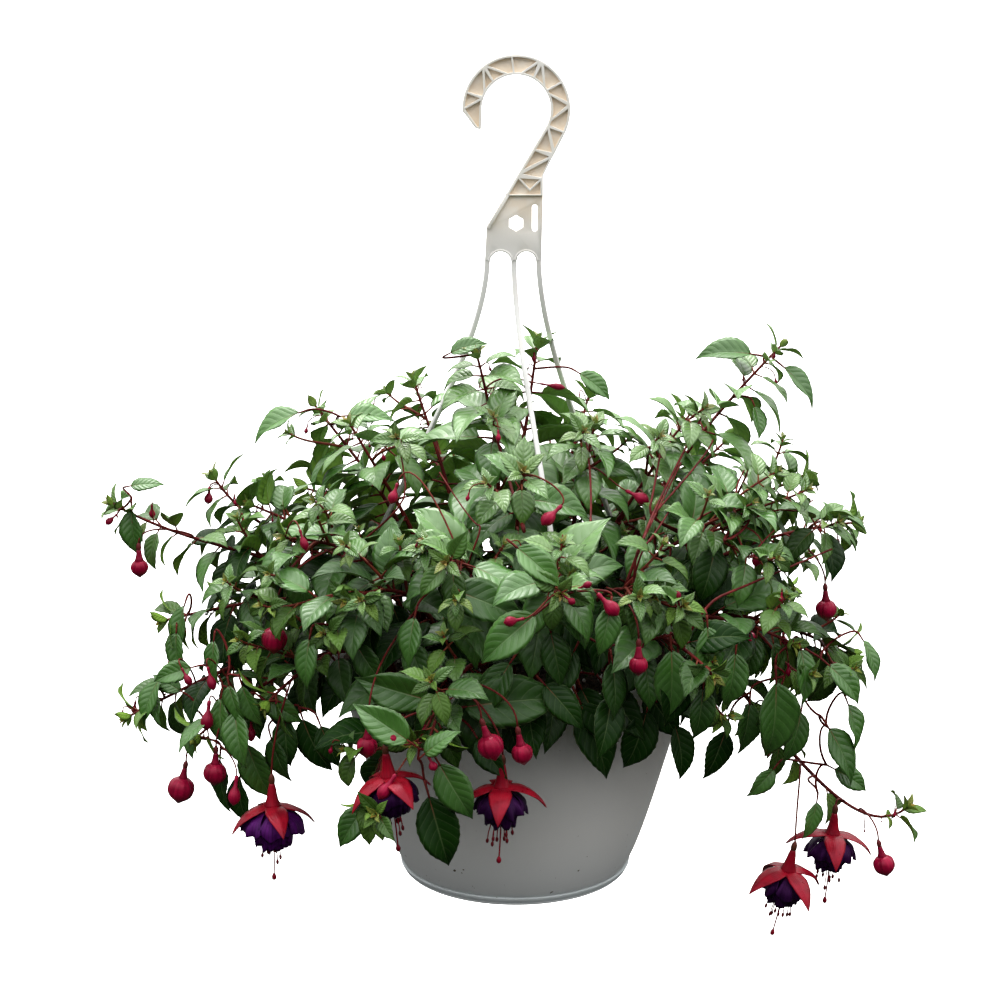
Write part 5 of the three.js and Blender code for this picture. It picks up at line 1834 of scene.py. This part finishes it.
def draw_threads(random):
    """The stamens with their anthers, and the longer style with its stigma."""
    threads = Shape()
    for k in range(STAMENS):
        side = heading(360 // STAMENS * k + 40 * random())
        end = side * (3 + 5.5 * random()) + UP * (SEPAL_Z - 27 - 9 * random())
        start = side * 1.6 + UP * (SEPAL_Z - 4)
        line = bezier(start, start - UP * 12, end + UP * 9, end, 7)
        add_rod(threads, line, 0.38, 6, look=(0.15, 0, 0))
        anther = end + np.outer((-0.6, 0.2, 1.2, 2.4, 3.0), unit(line[-1] - line[-2]))
        add_rod(threads, anther, (0.3, 0.85, 1.05, 0.8, 0.2), 8, look=(1, 0.25, 0))
    style = bezier(vec(0, 0, SEPAL_Z), vec(0.4, 0, -40), vec(0.6, -0.4, -56), vec(0, 0, -68), 12)
    add_rod(threads, style, 0.5, 8)
    add_turned(threads, STIGMA, 12, look=(0.35, 0, 0))
    return threads


def make_flower(row, shoots, looks):
    """A flower's four pieces: its stalk, its calyx, its corolla and its threads."""
    name, shoot_number, back, place, turn, lean = row
    random = random_stream(200 + shoot_number + back)
    make_stalk(row, shoots, looks, 20, (0.75, 0.62))
    make_hung(name, "calyx", draw_calyx(turn, random), place, lean, looks["sepals"])
    corolla = draw_corolla(turn, name == OPEN_FLOWER, random)
    make_hung(name, "corolla", corolla, place, lean, looks["petals"])
    make_hung(name, "threads", draw_threads(random), place, lean, looks["sepals"])


def make_bud(row, shoots, looks):
    """A balloon bud: four sepals still joined at their edges, on the tube and the ovary."""
    name, _, _, place, size, lean = row
    make_stalk(row, shoots, looks, 18, (0.72, 0.6))
    skin = Shape()
    add_turned(skin, BUD_OVARY, 14, look=(0.6, 0.55, 0))
    add_turned(skin, BUD_NECK, 18, look=(0.5, 0, 0))
    r = size / 2
    sides, stops = 48, 24
    turns = round_turn(sides)
    seam = np.exp(-((np.abs(((turns + 0.3) % (math.pi / 2)) - math.pi / 4)) / 0.09) ** 2)
    rings, looks_at = [], []
    for k in range(stops + 1):
        share = k / stops
        turn = math.pi * share
        body = r * math.sin(turn) ** 0.86 * (1 + 0.05 * math.cos(turn))
        pointed = max(0, (share - 0.84) / 0.16)
        z = 0.6 - BUD_TUBE - 0.93 * r * (1 - math.cos(turn)) - 0.26 * r * pointed**1.5
        radii = max(body, 0.25) * (1 - (0.09 * seam + 0.022 * np.cos(12 * turns)) * math.sin(turn))
        rings.append(level_ring(radii, sides, z))
        # Painted shade: the seams' grooves turn to the darker seam colour; the ball's top also darkens
        # towards its neck.
        shade = 0.6 * seam + 0.3 * max(0, 1 - share / 0.2)
        looks_at.append(np.outer(np.minimum(1, shade), (1, 0, 0)))
    add_rings(skin, rings, np.concatenate(looks_at))
    make_hung(name, "skin", skin, place, lean, looks["buds"])


# ---- the plant ---------------------------------------------------------------------------------------------


def keep_room(row, shoots, room):
    """Keeps leaves away from a flower or a fat bud and its stalk."""
    name, number, back, place = row[:4]
    is_flower = row in FLOWERS
    line = stalk_line(shoots[number - 1], back, vec(*place), 5)
    room.add_line(line[1:], name)
    room.add([place + UP * z for z in range(-4, -60 if is_flower else -34, -6)], name)
    if is_flower:
        for turn in range(0, 360, 30):
            room.add([place + heading(turn) * r + UP * (SEPAL_Z - 0.3 * r) for r in (12, 22, 32)], name)


def share_out(shoots, room):
    """Gives each shoot its thin stems, single leaves, sprays and small hanging buds."""
    for row in THIN_STEMS:
        shoot, line = thin_stem_line(shoots, row)
        shoot.thin.append((line, row[3]))
    feet = [(point, shoot) for shoot in shoots for line, _ in shoot.thin for point in line]
    singles = front_leaves()
    joints = joints_for(shoots, [leaf.at for leaf, _ in singles], feet)
    for (leaf, tone), (shoot, joint) in zip(singles, joints):
        shoot.single.append((leaf, tone, joint))
        room.add(leaf.feelers(), "single leaves")
    random = random_stream(90)
    for at, size in SPRAY_TIPS:
        shoot, line = spray_line(shoots, vec(*at))
        outward = unit(vec(at[0], at[1] - 40, 0))
        pairs = [(back, length * (0.6 + 0.4 * size)) for back, length in SPRAY_PAIRS]
        shoot.sprays.append((line, size, grow_pairs(shoot, line, pairs, outward, random, room)))
    for row in HUNG_BUDS:
        shoot, joint = nearest_shoot(shoots, vec(*row[0]), -0.3)
        shoot.hung.append((row, joint))


def make_plant(looks):
    """Every shoot, flower and bud. What takes its room first keeps it."""
    room = Room()
    for i in range(len(LEG_AZIMUTHS)):
        room.add_line(leg_line(i, 14), "hanger")
    randoms = [random_stream(i + 1) for i in range(len(SHOOTS))]
    shoots = [Shoot(i + 1, row, randoms[i]) for i, row in enumerate(SHOOTS)]
    for shoot in shoots:
        room.add_line(shoot.points, shoot.name)
    for row in (*FLOWERS, *BUDS):
        keep_room(row, shoots, room)
    for shoot, random in zip(shoots, randoms):
        shoot.large = first_leaves(shoot, random, room)
    share_out(shoots, room)
    for shoot in shoots:
        grow_shoot(shoot, random_stream(shoot.number + 100), room, looks)
    for row in FLOWERS:
        make_flower(row, shoots, looks)
    for row in BUDS:
        make_bud(row, shoots, looks)


# ---- camera, floor and light, in metres --------------------------------------------------------------------

CAMERA_AT = (-0.0107, -1.5, 0.062)
CAMERA_DOWN = 13.07  # degrees below the horizon
LENS = 81.07
SENSOR = 36
FLOOR_Z = -0.95
FLOOR_HALF = 60
FLOOR_GLOW = 0.5
# Name, azimuth, elevation, strength, spread in degrees and colour.
SUNS = (
    ("key", 110, 66, 2.6, 30, (1.0, 0.99, 0.96)),
    ("fill", -130, 42, 0.45, 60, (0.97, 0.99, 1.0)),
    ("side", -4, 22, 0.62, 60, (1.0, 1.0, 0.98)),
)


def make_camera():
    """The camera that looks down at the basket from the front."""
    data = bpy.data.cameras.new("camera")
    data.lens = LENS
    data.sensor_width = SENSOR
    data.clip_end = 200
    camera = in_scene("camera", data)
    camera.location = CAMERA_AT
    camera.rotation_euler = (math.radians(90 - CAMERA_DOWN), 0, 0)
    bpy.context.scene.camera = camera


def make_floor():
    """A wide white floor far below, which adds no light of its own to the part."""
    mesh = bpy.data.meshes.new("floor")
    corners = [(FLOOR_HALF * x, FLOOR_HALF * y, 0) for x, y in ((-1, -1), (1, -1), (1, 1), (-1, 1))]
    mesh.from_pydata(corners, [], [(0, 1, 2, 3)])
    n = Look("floor")
    glow = {"Emission_Color": (1, 1, 1, 1), "Emission_Strength": FLOOR_GLOW}
    mesh.materials.append(n.finish((0.86, 0.86, 0.86, 1), 0.9, Specular_IOR_Level=0.0, **glow))
    floor = in_scene("floor", mesh)
    floor.location = (0, 0, FLOOR_Z)
    floor.visible_diffuse = False
    floor.visible_glossy = False


def make_sun(name, azimuth, elevation, strength, spread, colour):
    """A soft far lamp, from a side and a height in degrees."""
    data = bpy.data.lights.new(name, "SUN")
    data.energy = strength
    data.angle = math.radians(spread)
    data.color = colour
    sun = in_scene(name, data)
    sun.rotation_euler = Vector(heading(azimuth, elevation)).to_track_quat("Z", "Y").to_euler()


SKY_LOW = 0.04
SKY_HIGH = 2.9
SKY_BEHIND = 0.8
SKY_SEEN = 1.1


def make_sky():
    """A pale studio round the part: bright overhead, dimmer low down, and white where the camera sees it."""
    world = bpy.data.worlds.new("studio")
    bpy.context.scene.world = world
    world.use_nodes = True
    n = Nodes(world.node_tree)
    _, back, up = n.parts("ShaderNodeSeparateXYZ", n.node("ShaderNodeTexCoord").outputs["Generated"])
    overhead = n.step(up, -0.1, 1.15, SKY_LOW, SKY_HIGH)
    behind = n.times(n.step(back, 0.0, 1.0, 0, SKY_BEHIND), n.step(up, -0.05, 0.2, 0, 1))
    shown = n.node("ShaderNodeMix", data_type="FLOAT")
    n.feed(shown.inputs[0], n.node("ShaderNodeLightPath").outputs["Is Camera Ray"])
    n.feed(shown.inputs[2], n.calc("ADD", overhead, behind))
    n.feed(shown.inputs[3], SKY_SEEN)
    background = n.tree.nodes["Background"]
    n.feed(background.inputs["Strength"], shown.outputs[0])
    n.feed(background.inputs["Color"], (1.0, 1.0, 0.985, 1))


def main():
    """Makes the materials, every piece and the stage round them."""
    make_camera()
    looks = {
        "stems": stem_material(),
        "leaves": leaf_material(),
        "sepals": sepal_material("sepals", (0.29, 0.003, 0.014), (0.17, 0.002, 0.009), (0.12, 0.002, 0.010)),
        "buds": sepal_material("bud_skin", (0.32, 0.004, 0.036), (0.18, 0.002, 0.019), (0.08, 0.002, 0.010)),
        "petals": petal_material(),
    }
    make_hanger(hanger_plastic())
    make_pot(pot_plastic("pot_plastic", (0.72, 0.72, 0.705), (0.67, 0.675, 0.66)))
    make_tray(pot_plastic("tray_plastic", (0.70, 0.75, 0.765), (0.64, 0.69, 0.71)))
    make_soil(soil_material(), perlite_material())
    make_plant(looks)
    make_floor()
    make_sky()
    for sun in SUNS:
        make_sun(*sun)
    bpy.context.scene.view_settings.view_transform = "Standard"


main()
